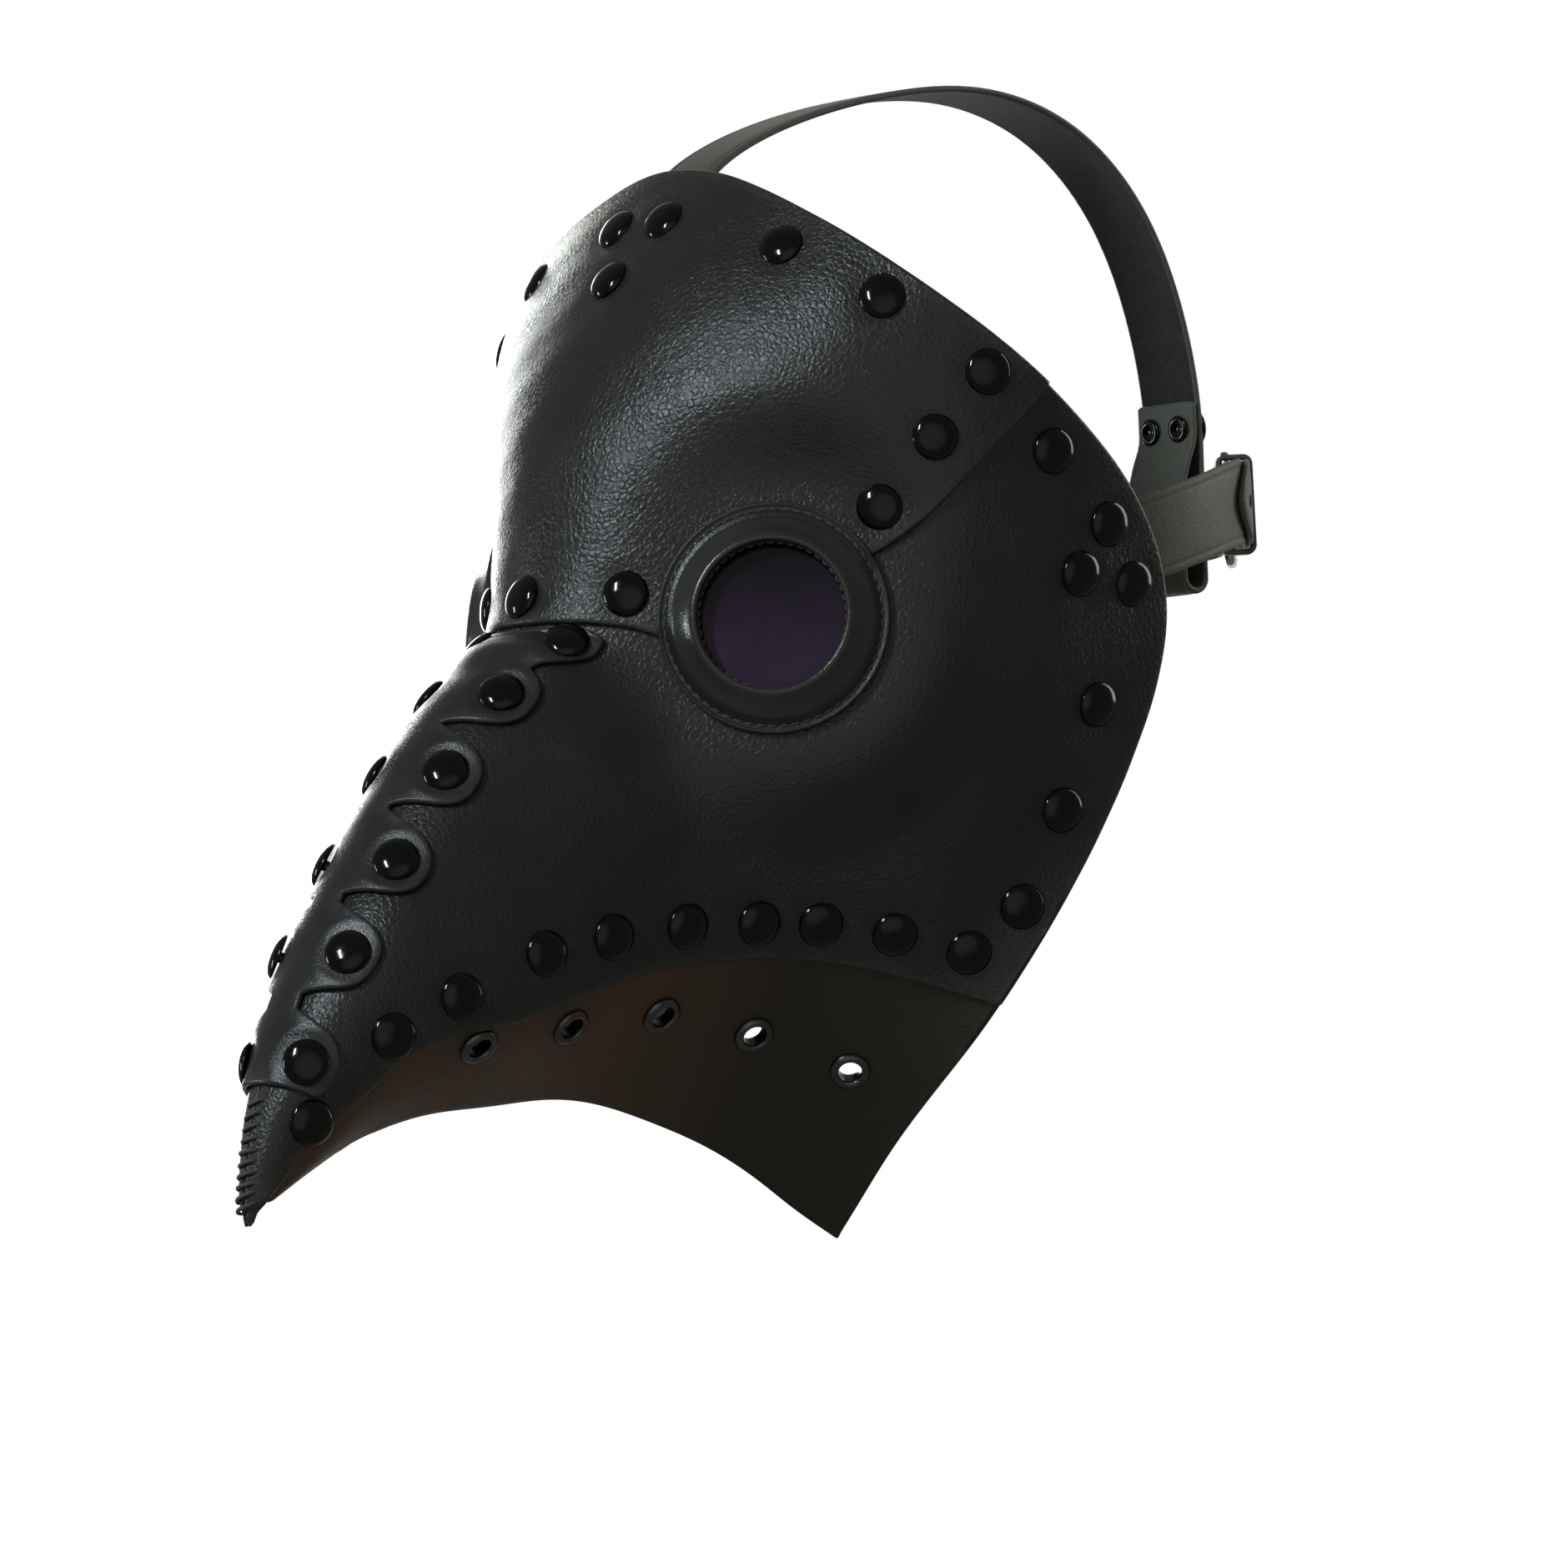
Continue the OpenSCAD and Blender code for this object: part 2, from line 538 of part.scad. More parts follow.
module buckle_prong() {
  color(steel) at_buckle() difference() {
    union() {
      cylinder(h = 3, r = 2.7, center = true);
      translate([-0.6, 1.7, 0]) rotate([0, -90, -10.6]) {
        cylinder(h = 17, r = 0.9);
        translate([0, 0, 17]) sphere(r = 0.9);
      }
    }
    cylinder(h = 6, r = wire_r + pin_clear, center = true);
  }
}
module strap_keeper() {
  color(black) at_buckle() translate([keeper_x, -2.4, 0]) difference() {
    translate([0, -1.4, -strap_w / 2 - 2]) cube([keeper_l, 9.6, strap_w + 4]);
    translate([-1, 0, -strap_w / 2 - 0.6]) cube([keeper_l + 2, 6.8, strap_w + 1.2]);
  }
}

forehead_panel();
side_panel_left();
side_panel_right();
chin_panel();
ridge_strip();
tip_stitching();
eye_flange_left();
eye_flange_right();
eye_rim_left();
eye_rim_right();
lens_left();
lens_right();
lens_retainer_left();
lens_retainer_right();
ring_stitching_left();
ring_stitching_right();
top_edge_rivets();
top_strap_rivets();
bridge_rivets();
seam_rivets_left();
seam_rivets_right();
cheek_rivets_left();
cheek_rivets_right();
strap_rivets_left();
strap_rivets_right();
jaw_rivets_left();
jaw_rivets_right();
ridge_rivets_left();
ridge_rivets_right();
eyelets_left();
eyelets_right();
top_strap();
loop_rivets();
side_strap_left();
side_strap_right();
buckle_frame();
buckle_prong();
strap_keeper();
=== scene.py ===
"""Plague doctor mask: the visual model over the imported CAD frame. Lengths are in mm in this
script and are written to the meshes in metres."""
import math

import bmesh
import bpy
import numpy as np
from mathutils import Matrix, Quaternion, Vector


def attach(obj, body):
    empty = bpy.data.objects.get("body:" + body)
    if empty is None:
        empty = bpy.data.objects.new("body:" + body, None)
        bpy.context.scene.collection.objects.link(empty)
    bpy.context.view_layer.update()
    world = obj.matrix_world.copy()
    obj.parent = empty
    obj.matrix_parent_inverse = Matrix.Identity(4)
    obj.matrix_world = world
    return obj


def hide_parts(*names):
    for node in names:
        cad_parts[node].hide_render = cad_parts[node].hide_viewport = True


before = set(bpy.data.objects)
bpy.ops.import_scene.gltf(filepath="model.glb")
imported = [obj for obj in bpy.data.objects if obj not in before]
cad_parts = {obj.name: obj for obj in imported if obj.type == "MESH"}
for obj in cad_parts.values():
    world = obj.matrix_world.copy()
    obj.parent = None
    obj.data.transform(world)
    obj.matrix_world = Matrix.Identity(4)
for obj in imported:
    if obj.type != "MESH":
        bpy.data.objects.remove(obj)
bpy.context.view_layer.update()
MM = 0.001

# ---- the form of the mask, as in the CAD source ----
RIBS = np.array([
    [[0, -213.4, -142.2], [0.8, -213.1, -142], [1.4, -212.6, -141.6], [1.8, -212.1, -141.2],
     [1.9, -211.6, -140.8], [1.9, -211.1, -140.4], [1.7, -210.7, -140], [1, -210.4, -139.6],
     [0, -210.3, -139.4]],
    [[0, -210.5, -124], [3.4, -209.4, -124.2], [5.5, -206.7, -124.8], [6.2, -203.6, -125.8],
     [6.4, -201.2, -127], [6.3, -199.8, -128], [5.9, -199, -129.2], [3.5, -199, -132.3],
     [0, -199.6, -134.4]],
    [[0, -203.3, -103.5], [6.2, -202.2, -104], [10.1, -199, -105.6], [12.1, -195.2, -107.6],
     [12.9, -191.5, -110], [13, -188.5, -112.5], [12.3, -185.5, -115.2], [7.3, -182.8, -120.4],
     [0, -180, -124.4]],
    [[0, -190.5, -77.5], [9.3, -189, -79], [16.1, -185.2, -82], [19.3, -182, -86.5],
     [20.6, -178.5, -91.5], [20.8, -174.8, -97], [19.3, -171, -103], [11, -164, -111.3],
     [0, -157.5, -118.8]],
    [[0, -175, -56], [10.5, -173, -58], [18.5, -168, -64], [22.5, -164, -71],
     [25, -160, -79], [25.5, -155.5, -88.5], [24.5, -149.5, -98.5], [13.5, -141.5, -108],
     [0, -133, -117]],
    [[0, -157.5, -33.5], [11.5, -155, -35.5], [20.5, -149, -42.5], [26, -144, -52],
     [29, -139, -63], [29.5, -133, -76.5], [27, -126.5, -91.5], [15, -116.5, -105],
     [0, -106.5, -117.5]],
    [[0, -138.5, -13], [12.5, -136, -15], [22.5, -128.5, -21.5], [30, -122, -32.5],
     [33.5, -116.5, -47], [34, -109.5, -65], [31, -101.5, -84], [17, -93.5, -104.5],
     [0, -84.5, -123.5]],
    [[0, -117, 2], [14, -112, 2], [25, -102.5, 1], [38, -94, -8],
     [45, -87, -27], [42, -80.5, -55], [36, -74, -83.5], [19.5, -70, -108],
     [0, -64, -132.5]],
    [[0, -110, 30], [19, -105, 28], [37, -93, 19], [54, -75, 8],
     [66, -67, -17], [57, -61, -51], [43, -54, -86.5], [23, -54, -112.5],
     [0, -51.5, -139]],
    [[0, -100, 59], [27, -95, 55], [53, -82, 43], [73, -58, 21],
     [82, -38.5, -10], [68, -39, -54], [50, -39, -91], [27, -41.5, -117.5],
     [0, -42, -145.5]],
    [[0, -82, 89], [36, -77, 84], [68, -66, 68], [87, -40, 37],
     [87, -13, -6], [73, -20, -54], [56, -28.5, -95.5], [30, -32.5, -122.5],
     [0, -34, -151]],
    [[0, -60, 117], [40, -60, 106], [77, -52, 84], [95, -23, 55],
     [89, 21, 6], [78, 1, -55], [62, -21, -99], [32, -25.5, -126],
     [0, -26, -156]],
], float)
LAST_U, LAST_V = 11, 8
FLIP = np.array([-1.0, 1.0, 1.0])
EYE = np.array([52.0, -79.5, 0.0])
EYE_AZ, EYE_UP = math.radians(45), math.radians(6)
EYE_N = np.array([math.sin(EYE_AZ) * math.cos(EYE_UP), -math.cos(EYE_AZ) * math.cos(EYE_UP),
                  math.sin(EYE_UP)])
# the form is flat within FLAT_R of the eye's centre and blends out to BLEND_R
FLAT_R, BLEND_R = 31.0, 60.0
UP = np.array([0, 0, 1.0])
SWELL, SWELL_AT, SWELL_LONG = 2.2, 6.4, 0.17
PINCH, PINCH_AT, PINCH_LONG = 1.9, 6.86, 0.13

# each leather layer: its lower and upper height over the form
FOREHEAD = (2.0, 3.8)
SIDE = (0.0, 1.8)
CHIN = (-2.0, -0.2)
STRIP_LOW, STRIP_T = 2.0, 1.6
EDGE_R = 0.8
# the side panels thin out towards the tip and run down to a point there
TIP_SKIVE_U, TIP_SKIVE, TIP_POINT = 0.28, 1.0, 2.4

TOP_EDGE_AT = [(10.55, 1.25), (10.6, 2)]
TOP_STRAP_AT = [(10.5, 0.24), (10.5, -0.24), (9.98, 0)]
BRIDGE_AT = [(7.3, 1.66), (7.24, 0), (7.3, -1.66)]
SEAM_AT = [(10.65, 2.7), (9.85, 2.74), (9.1, 2.84)]
CHEEK_AT = [(10.6, 3.2), (10.4, 4.42), (10.38, 4.92), (10.38, 5.42)]
SIDE_STRAP_AT = [(10.66, 3.62), (10.24, 3.75), (10.7, 3.92)]
JAW_AT = [(9.8, 5.73), (8.55, 5.71), (7.6, 5.71), (6.9, 5.68), (6.2, 5.58), (5.45, 5.34),
          (4.7, 5), (3.65, 4.85), (2.72, 4.5), (1.42, 3.12)]
RIDGE_AT = [(6.63, 1.3), (5.93, 1.06), (5.02, 1.07), (4.06, 1.18), (3.05, 1.35), (2, 1.7)]
EYELET_AT = [(3.65, 6.3), (4.8, 6.45), (5.9, 6.6), (7.05, 6.77), (8.75, 6.85)]

JAW_EDGE = [(0, 2.6), (0.6, 3.3), (1.4, 4.75), (2, 5.5), (3, 5.75), (4, 5.9), (5, 5.96), (6, 6),
            (11, 6)]
SIDE_TOP = [(0, 0.004), (7.3, 0.004), (7.7, 0.6), (8.3, 1.9), (9, 2.4), (11, 2.45)]
BROW_EDGE = [(7, 2.4), (7.5, 2.9), (8, 3.1), (9, 3.1), (10, 2.98), (11, 2.96)]
CHIN_TOP = [(0, 1.9), (1, 2.2), (1.5, 2.4), (2.7, 3.8), (3.65, 4.2), (4.7, 4.5), (5.45, 4.9),
            (6.2, 5.15), (7, 5.3), (9, 5.4), (9.8, 5.58), (11, 5.62)]
RIDGE_ARC = [(1, 3.4), (2, 5.6), (3, 8.9), (4, 10.9), (5, 11.9), (6, 12.8), (7, 14.7), (8, 19)]


def unit(a):
    return a / np.linalg.norm(a, axis=-1, keepdims=True)


def table(u, pairs):
    xs, ys = zip(*pairs)
    return np.interp(u, xs, ys)


def smooth_table(u, pairs, width=0.25):
    """The same table with its corners rounded off."""
    return sum(table(np.asarray(u) + d * width, pairs) for d in (-1, -0.5, 0, 0.5, 1)) / 5


def ease(t):
    c = np.clip(t, 0, 1)
    return c * c * (3 - 2 * c)


def bell(x, at, wide, power=2):
    """1 at x = at, and about a third of that at a distance of wide."""
    return np.exp(-(np.abs((x - at) / wide) ** power))


def grow(a):
    """The same rows with one more at each end, in line with the last two."""
    return np.concatenate([[2 * a[0] - a[1]], a, [2 * a[-1] - a[-2]]])


def grow_rib(r):
    """A rib with one more point beyond the ridge, mirrored, and one past the keel."""
    return np.concatenate([[r[1] * FLIP], r, [2 * r[-1] - r[-2]]])


def push(a, g):
    """Control points that let the B-spline pass close to the points a."""
    return a + (2 * a - g[:-2] - g[2:]) / 6


PUSHED = push(RIBS, grow(RIBS))
NET = np.array([grow_rib(r) for r in grow(np.array([push(s, grow_rib(s)) for s in PUSHED]))])


def basis(t):
    """Weights of the four nearest control points of a uniform cubic B-spline."""
    return np.stack([(1 - t) ** 3, 3 * t ** 3 - 6 * t * t + 4,
                     -3 * t ** 3 + 3 * t * t + 3 * t + 1, t ** 3], -1) / 6


def settle(p):
    """Draws the form into the eye's plane near the eye."""
    h = (p - EYE) @ EYE_N
    d = np.linalg.norm(p - h[..., None] * EYE_N - EYE, axis=-1)
    return p - (ease((BLEND_R - d) / (BLEND_R - FLAT_R)) * h)[..., None] * EYE_N


def shelf(u, v):
    """The top of the beak is pressed in under the forehead's edge and swells before it."""
    swell = SWELL * bell(u, SWELL_AT, SWELL_LONG)
    pinch = PINCH * bell(u, PINCH_AT, PINCH_LONG)
    return (swell - pinch) * ease((2.6 - v) / 1.2)


def surface(u, v):
    ku = np.clip(np.floor(u), 0, LAST_U - 1).astype(int)
    kv = np.clip(np.floor(v), 0, LAST_V - 1).astype(int)
    bu, bv = basis(u - ku), basis(v - kv)
    p = 0
    for i in range(4):
        for j in range(4):
            p = p + (bu[..., i] * bv[..., j])[..., None] * NET[ku + i, kv + j]
    return settle(p) + shelf(u, v)[..., None] * UP


def wave(p):
    """Slow, shallow unevenness of formed leather, none near the eyes."""
    x, y, z = p[..., 0], p[..., 1], p[..., 2]
    slow = np.sin(0.085 * x + 0.06 * y + 1.1) * np.sin(0.075 * z - 0.05 * y + 0.6)
    quick = np.sin(0.21 * x - 0.13 * z + 2.0) * np.sin(0.17 * y + 0.19 * z)
    near = [np.linalg.norm(p - e, axis=-1) for e in (EYE, EYE * FLIP)]
    return (0.45 * slow + 0.1 * quick) * ease((np.minimum(*near) - 32) / 25)


STEP = 0.02


def lay(u, v, h):
    """Points at height h over the form and its outward normals. Negative v is the right half
    over the ridge, v above 8 the right half under the keel."""
    u, v = np.broadcast_arrays(np.asarray(u, float), np.asarray(v, float))
    w = np.abs(np.where(v > LAST_V, 2 * LAST_V - v, v))
    right = (v < 0) | (v > LAST_V)
    p = surface(u, w)
    du = surface(np.minimum(u + STEP, LAST_U), w) - surface(np.maximum(u - STEP, 0), w)
    up = surface(u, np.minimum(w + STEP, LAST_V))
    down = surface(u, np.abs(w - STEP))
    down = np.where((w < STEP)[..., None], down * FLIP, down)
    n = unit(np.cross(up - down, du))
    flat = n * np.array([0, 1.0, 1.0])
    size = np.sum(flat * flat, -1, keepdims=True)
    n = np.where((w > LAST_V - 0.001)[..., None], flat / size, n)
    n = np.where((w < 0.001)[..., None], flat / np.sqrt(size), n)
    p = np.where(right[..., None], p * FLIP, p)
    n = np.where(right[..., None], n * FLIP, n)
    return p + np.asarray(h)[..., None] * n + wave(p)[..., None] * n, n


# ---- mesh helpers ----
def strips(m, n, base=0, wrap_u=False, wrap_v=False):
    """Quads between m rows of n points."""
    i = np.arange(m if wrap_u else m - 1)[:, None]
    j = np.arange(n if wrap_v else n - 1)[None, :]
    i2, j2 = (i + 1) % m, (j + 1) % n
    quads = np.stack([i * n + j, i2 * n + j, i2 * n + j2, i * n + j2], -1)
    return (quads.reshape(-1, 4) + base).tolist()


class Build:
    """Collects points and faces, in mm, for one object."""

    def __init__(self):
        self.points, self.faces, self.slots, self.count = [], [], [], 0
        self.edge = []

    def add(self, points, faces, edge=0.0):
        points = np.asarray(points, float).reshape(-1, 3)
        self.points.append(points)
        self.faces += [[k + self.count for k in f] for f in faces]
        self.slots += [0] * len(faces)
        self.edge.append(np.broadcast_to(np.asarray(edge, float), len(points)))
        self.count += len(points)

    def mirrored(self):
        other = Build()
        other.points = [p * FLIP for p in self.points]
        other.faces, other.slots = self.faces, self.slots
        other.edge, other.count = self.edge, self.count
        return other

    def merged(self, more):
        for p, e in zip(more.points, more.edge):
            self.points.append(p)
            self.edge.append(e)
        self.faces += [[k + self.count for k in f] for f in more.faces]
        self.slots += more.slots
        self.count += more.count
        return self


def place_object(name, data):
    obj = bpy.data.objects.new(name, data)
    bpy.context.scene.collection.objects.link(obj)
    return obj


def mesh_of(name, build):
    mesh = bpy.data.meshes.new(name)
    mesh.from_pydata((np.concatenate(build.points) * MM).tolist(), [], build.faces)
    return mesh


def weld(mesh, distance):
    """Joins points closer than the distance and turns every face outward."""
    bm = bmesh.new()
    bm.from_mesh(mesh)
    bmesh.ops.remove_doubles(bm, verts=bm.verts, dist=distance)
    bmesh.ops.recalc_face_normals(bm, faces=bm.faces)
    bm.to_mesh(mesh)
    bm.free()


def finish_piece(name, build, nodes, body, slot, *materials, crease=None):
    """One named object from a build, riding its body in place of its CAD nodes."""
    mesh = mesh_of(name, build)
    mesh.attributes.new("edge", "FLOAT", "POINT").data.foreach_set(
        "value", np.concatenate(build.edge).astype(np.float32))
    mesh.polygons.foreach_set("material_index", build.slots)
    for m in materials:
        mesh.materials.append(m)
    weld(mesh, 2e-6)
    mesh.shade_smooth()
    if crease:
        mesh.set_sharp_from_angle(angle=math.radians(crease))
    obj = place_object(name, mesh)
    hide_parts(*nodes)
    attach(obj, body)
    return obj


def loop_of(m, n):
    """Grid indices around the border, in order."""
    return ([(0, j) for j in range(n)] + [(i, n - 1) for i in range(1, m)]
            + [(m - 1, j) for j in range(n - 2, -1, -1)] + [(i, 0) for i in range(m - 2, 0, -1)])


def shell(build, mid, nrm, high, low, under=1, rings=5):
    """A closed thick sheet over a grid of points, with round edges. high and low are the
    heights of its two faces from the grid."""
    m, n = mid.shape[:2]
    high = np.broadcast_to(high, (m, n)).copy()
    low = np.broadcast_to(low, (m, n)).copy()
    at = np.array(loop_of(m, n))
    i, j = at[:, 0], at[:, 1]
    half = (high[i, j] - low[i, j]) / 2
    centre = mid[i, j] + nrm[i, j] * ((high + low)[i, j] / 2)[:, None]
    run = unit(np.roll(centre, -1, 0) - np.roll(centre, 1, 0))
    out = unit(np.cross(run, nrm[i, j]))
    inner = mid[np.clip(i, 1, m - 2), np.clip(j, 1, n - 2)]
    out *= np.sign(np.mean(np.sum(out * (mid[i, j] - inner), -1)))
    around = [centre + half[:, None] * (math.cos(a) * out + math.sin(a) * nrm[i, j])
              for a in np.linspace(math.pi / 2, -math.pi / 2, rings + 2)[1:-1]]
    top = mid + nrm * high[..., None]
    bottom = mid + nrm * low[..., None]
    border = mid[i, j]
    near = np.concatenate([np.min(np.linalg.norm(row[:, None] - border[None], axis=-1), 1)
                           for row in mid])
    wear = bell(near, 0, 1.6)
    count = m * n
    faces_top = strips(m, n)
    faces_low = [f[::-1] for f in strips(m, n, count)]
    grid = (i * n + j)
    k = len(grid)
    rows = [grid.tolist()]
    rows += [list(range(2 * count + r * k, 2 * count + (r + 1) * k)) for r in range(rings)]
    rows += [(grid + count).tolist()]
    side = [[a[q], a[(q + 1) % k], b[(q + 1) % k], b[q]]
            for a, b in zip(rows, rows[1:]) for q in range(k)]
    points = np.concatenate([top.reshape(-1, 3), bottom.reshape(-1, 3)] + around)
    edge = np.concatenate([wear, wear, np.ones(rings * k)])
    start = build.count
    build.add(points, faces_top + side, edge)
    build.faces += [[q + start for q in f] for f in faces_low]
    build.slots += [under] * len(faces_low)


def lathe(build, profile, place, turns, closed=True):
    """Turns a profile of (radius, height) about the z of place, a 4x4 of numbers."""
    a = np.linspace(0, 2 * math.pi, turns, endpoint=False)
    r, z = np.array(profile, float).T
    pts = np.stack([r[:, None] * np.cos(a), r[:, None] * np.sin(a),
                    z[:, None] * np.ones_like(a)], -1)
    pts = pts @ place[:3, :3].T + place[:3, 3]
    build.add(pts, strips(len(profile), turns, wrap_u=closed, wrap_v=True))


def tube(build, path, radius, sides, closed=False):
    """A round bar along a path. radius may differ from point to point."""
    p = np.asarray(path, float)
    n = len(p)
    t = unit(np.roll(p, -1, 0) - np.roll(p, 1, 0)) if closed else unit(np.gradient(p, axis=0))
    axes = [unit(np.cross(t[0], [0.3, 0.2, 0.9]))]
    for k in range(1, n):
        a = axes[-1] - t[k] * (axes[-1] @ t[k])
        axes.append(unit(a))
    a = np.array(axes)
    b = np.cross(t, a)
    w = np.linspace(0, 2 * math.pi, sides, endpoint=False)
    r = np.broadcast_to(radius, n)[:, None, None]
    ring = np.cos(w)[None, :, None] * a[:, None] + np.sin(w)[None, :, None] * b[:, None]
    pts = p[:, None] + r * ring
    faces = strips(n, sides, wrap_u=closed, wrap_v=True)
    if not closed:
        faces += [list(range(sides))[::-1], [(n - 1) * sides + q for q in range(sides)]]
    build.add(pts, faces)


def stand(p, n):
    """A placement at p with z along n."""
    n = unit(np.asarray(n, float))
    x = unit(np.cross([0.0, 0, 1] if abs(n[2]) < 0.9 else [0.0, 1, 0], n))
    m = np.eye(4)
    m[:3, 0], m[:3, 1], m[:3, 2], m[:3, 3] = x, np.cross(n, x), n, p
    return m


def carve(obj, cutters):
    """Cuts closed cutter meshes out of an object and keeps its attributes."""
    cut = Build()
    for c in cutters:
        cut.merged(c)
    mesh = mesh_of("cutter", cut)
    weld(mesh, 1e-6)
    tool = place_object("cutter", mesh)
    mod = obj.modifiers.new("cut", "BOOLEAN")
    mod.operation, mod.solver, mod.object = "DIFFERENCE", "EXACT", tool
    graph = bpy.context.evaluated_depsgraph_get()
    done = bpy.data.meshes.new_from_object(obj.evaluated_get(graph))
    obj.modifiers.clear()
    obj.data = done
    bpy.data.objects.remove(tool)


def drill(place, radius, length, turns=48):
    """A closed round cutter about the z of place."""
    b = Build()
    lathe(b, [(0, -length / 2), (radius, -length / 2), (radius, length / 2), (0, length / 2)],
          place, turns, closed=False)
    return b


# ---- materials ----
class Nodes:
    """Short names for making a node material. Coordinates are in mm over the object."""

    def __init__(self, name):
        self.material = bpy.data.materials.new(name)
        self.material.use_nodes = True
        self.tree = self.material.node_tree
        self.tree.nodes.clear()
        self.out = self.new("ShaderNodeOutputMaterial")
        self.shader = self.new("ShaderNodeBsdfPrincipled")
        self.join(self.shader.outputs[0], self.out.inputs["Surface"])
        coord = self.new("ShaderNodeTexCoord")
        scale = self.new("ShaderNodeVectorMath", operation="SCALE")
        scale.inputs["Scale"].default_value = 1000
        self.join(coord.outputs["Object"], scale.inputs[0])
        self.mm = scale.outputs[0]

    def new(self, kind, **values):
        node = self.tree.nodes.new(kind)
        for key, value in values.items():
            setattr(node, key, value)
        return node

    def join(self, a, b):
        self.tree.links.new(a, b)

    def noise(self, per_mm, detail=3.0, rough=0.55):
        n = self.new("ShaderNodeTexNoise")
        n.inputs["Scale"].default_value = per_mm
        n.inputs["Detail"].default_value = detail
        n.inputs["Roughness"].default_value = rough
        self.join(self.mm, n.inputs["Vector"])
        return n.outputs["Fac"]

    def cells(self, per_mm, where):
        n = self.new("ShaderNodeTexVoronoi", feature="DISTANCE_TO_EDGE")
        n.inputs["Scale"].default_value = per_mm
        self.join(where, n.inputs["Vector"])
        return n.outputs["Distance"]

    def bent(self, amount, per_mm):
        """The coordinates pushed about by a noise, so cells look grown and not drawn."""
        n = self.new("ShaderNodeTexNoise")
        n.inputs["Scale"].default_value = per_mm
        self.join(self.mm, n.inputs["Vector"])
        mad = self.new("ShaderNodeVectorMath", operation="MULTIPLY_ADD")
        mad.inputs[1].default_value = (amount, amount, amount)
        self.join(n.outputs["Color"], mad.inputs[0])
        self.join(self.mm, mad.inputs[2])
        return mad.outputs[0]

    def math(self, op, a, b, clamp=False):
        n = self.new("ShaderNodeMath", operation=op, use_clamp=clamp)
        for k, value in enumerate((a, b)):
            if isinstance(value, (int, float)):
                n.inputs[k].default_value = value
            else:
                self.join(value, n.inputs[k])
        return n.outputs[0]

    def span(self, value, a, b, c, d):
        n = self.new("ShaderNodeMapRange")
        for k, x in enumerate((a, b, c, d)):
            n.inputs[k + 1].default_value = x
        self.join(value, n.inputs[0])
        return n.outputs[0]

    def mix(self, factor, a, b):
        n = self.new("ShaderNodeMix", data_type="RGBA")
        self.join(factor, n.inputs["Factor"])
        for socket, value in ((n.inputs[6], a), (n.inputs[7], b)):
            if isinstance(value, tuple):
                socket.default_value = (*value, 1)
            else:
                self.join(value, socket)
        return n.outputs[2]

    def attribute(self, name):
        return self.new("ShaderNodeAttribute", attribute_name=name).outputs["Fac"]

    def bump(self, height, distance_mm, strength=1.0, under=None):
        n = self.new("ShaderNodeBump")
        n.inputs["Strength"].default_value = strength
        n.inputs["Distance"].default_value = distance_mm * MM
        self.join(height, n.inputs["Height"])
        if under is not None:
            self.join(under, n.inputs["Normal"])
        return n.outputs["Normal"]

    def put(self, **sockets):
        names = {"color": "Base Color", "rough": "Roughness", "metal": "Metallic",
                 "normal": "Normal", "specular": "Specular IOR Level", "coat": "Coat Weight",
                 "coat_rough": "Coat Roughness", "sheen": "Sheen Weight",
                 "sheen_rough": "Sheen Roughness"}
        for key, value in sockets.items():
            socket = self.shader.inputs[names[key]]
            if isinstance(value, tuple):
                socket.default_value = (*value, 1)
            elif isinstance(value, (int, float)):
                socket.default_value = value
            else:
                self.join(value, socket)
        return self.material


def leather(name, base, worn, rough, grain=0.62, depth=0.11, specular=0.4, back=None):
    """Pebbled coated leather: grown cells, fine pores, scuffed edges. With back, the base colour
    shifts to that colour from the beak towards the cheeks."""
    n = Nodes(name)
    pebble = n.span(n.cells(grain, n.bent(0.9, 0.9)), 0.0, 0.3, 0.0, 1.0)
    pores = n.noise(3.2, 2.0, 0.6)
    broad = n.noise(0.045, 3.0, 0.5)
    patch = n.noise(0.35, 4.0, 0.6)
    height = n.math("ADD", n.math("MULTIPLY", pebble, 0.7), n.math("MULTIPLY", pores, 0.5))
    soft = n.bump(patch, 0.25, 0.35)
    normal = n.bump(height, depth, 1.0, soft)
    edge = n.math("MULTIPLY", n.attribute("edge"), n.span(patch, 0.35, 0.65, 0.25, 1.0))
    tone = n.mix(n.span(broad, 0.35, 0.65, 0.0, 0.5), base,
                 tuple(c * 1.35 + 0.001 for c in base))
    if back:
        apart = n.new("ShaderNodeSeparateXYZ")
        n.join(n.mm, apart.inputs[0])
        tone = n.mix(n.span(apart.outputs["Y"], -112.0, -62.0, 0.0, 1.0), tone, back)
    tone = n.mix(n.math("MULTIPLY", edge, 0.55), tone, worn)
    gloss = n.math("ADD", n.span(broad, 0.3, 0.7, rough - 0.04, rough + 0.05),
                   n.span(pebble, 0, 1, 0.08, 0.0))
    return n.put(color=tone, rough=n.math("ADD", gloss, n.math("MULTIPLY", edge, 0.04)),
                 normal=normal, specular=specular, sheen=0.04, sheen_rough=0.4)


def backing(name, base):
    """Brushed fibre side of the leather."""
    n = Nodes(name)
    fibres = n.noise(2.6, 4.0, 0.7)
    nap = n.noise(0.5, 3.0, 0.6)
    tone = n.mix(n.span(nap, 0.3, 0.7, 0, 1), base, tuple(c * 1.8 + 0.004 for c in base))
    normal = n.bump(fibres, 0.22, 0.8, n.bump(nap, 0.3, 0.4))
    return n.put(color=tone, rough=n.span(fibres, 0.3, 0.7, 0.78, 0.95), normal=normal,
                 specular=0.2, sheen=0.25, sheen_rough=0.5)


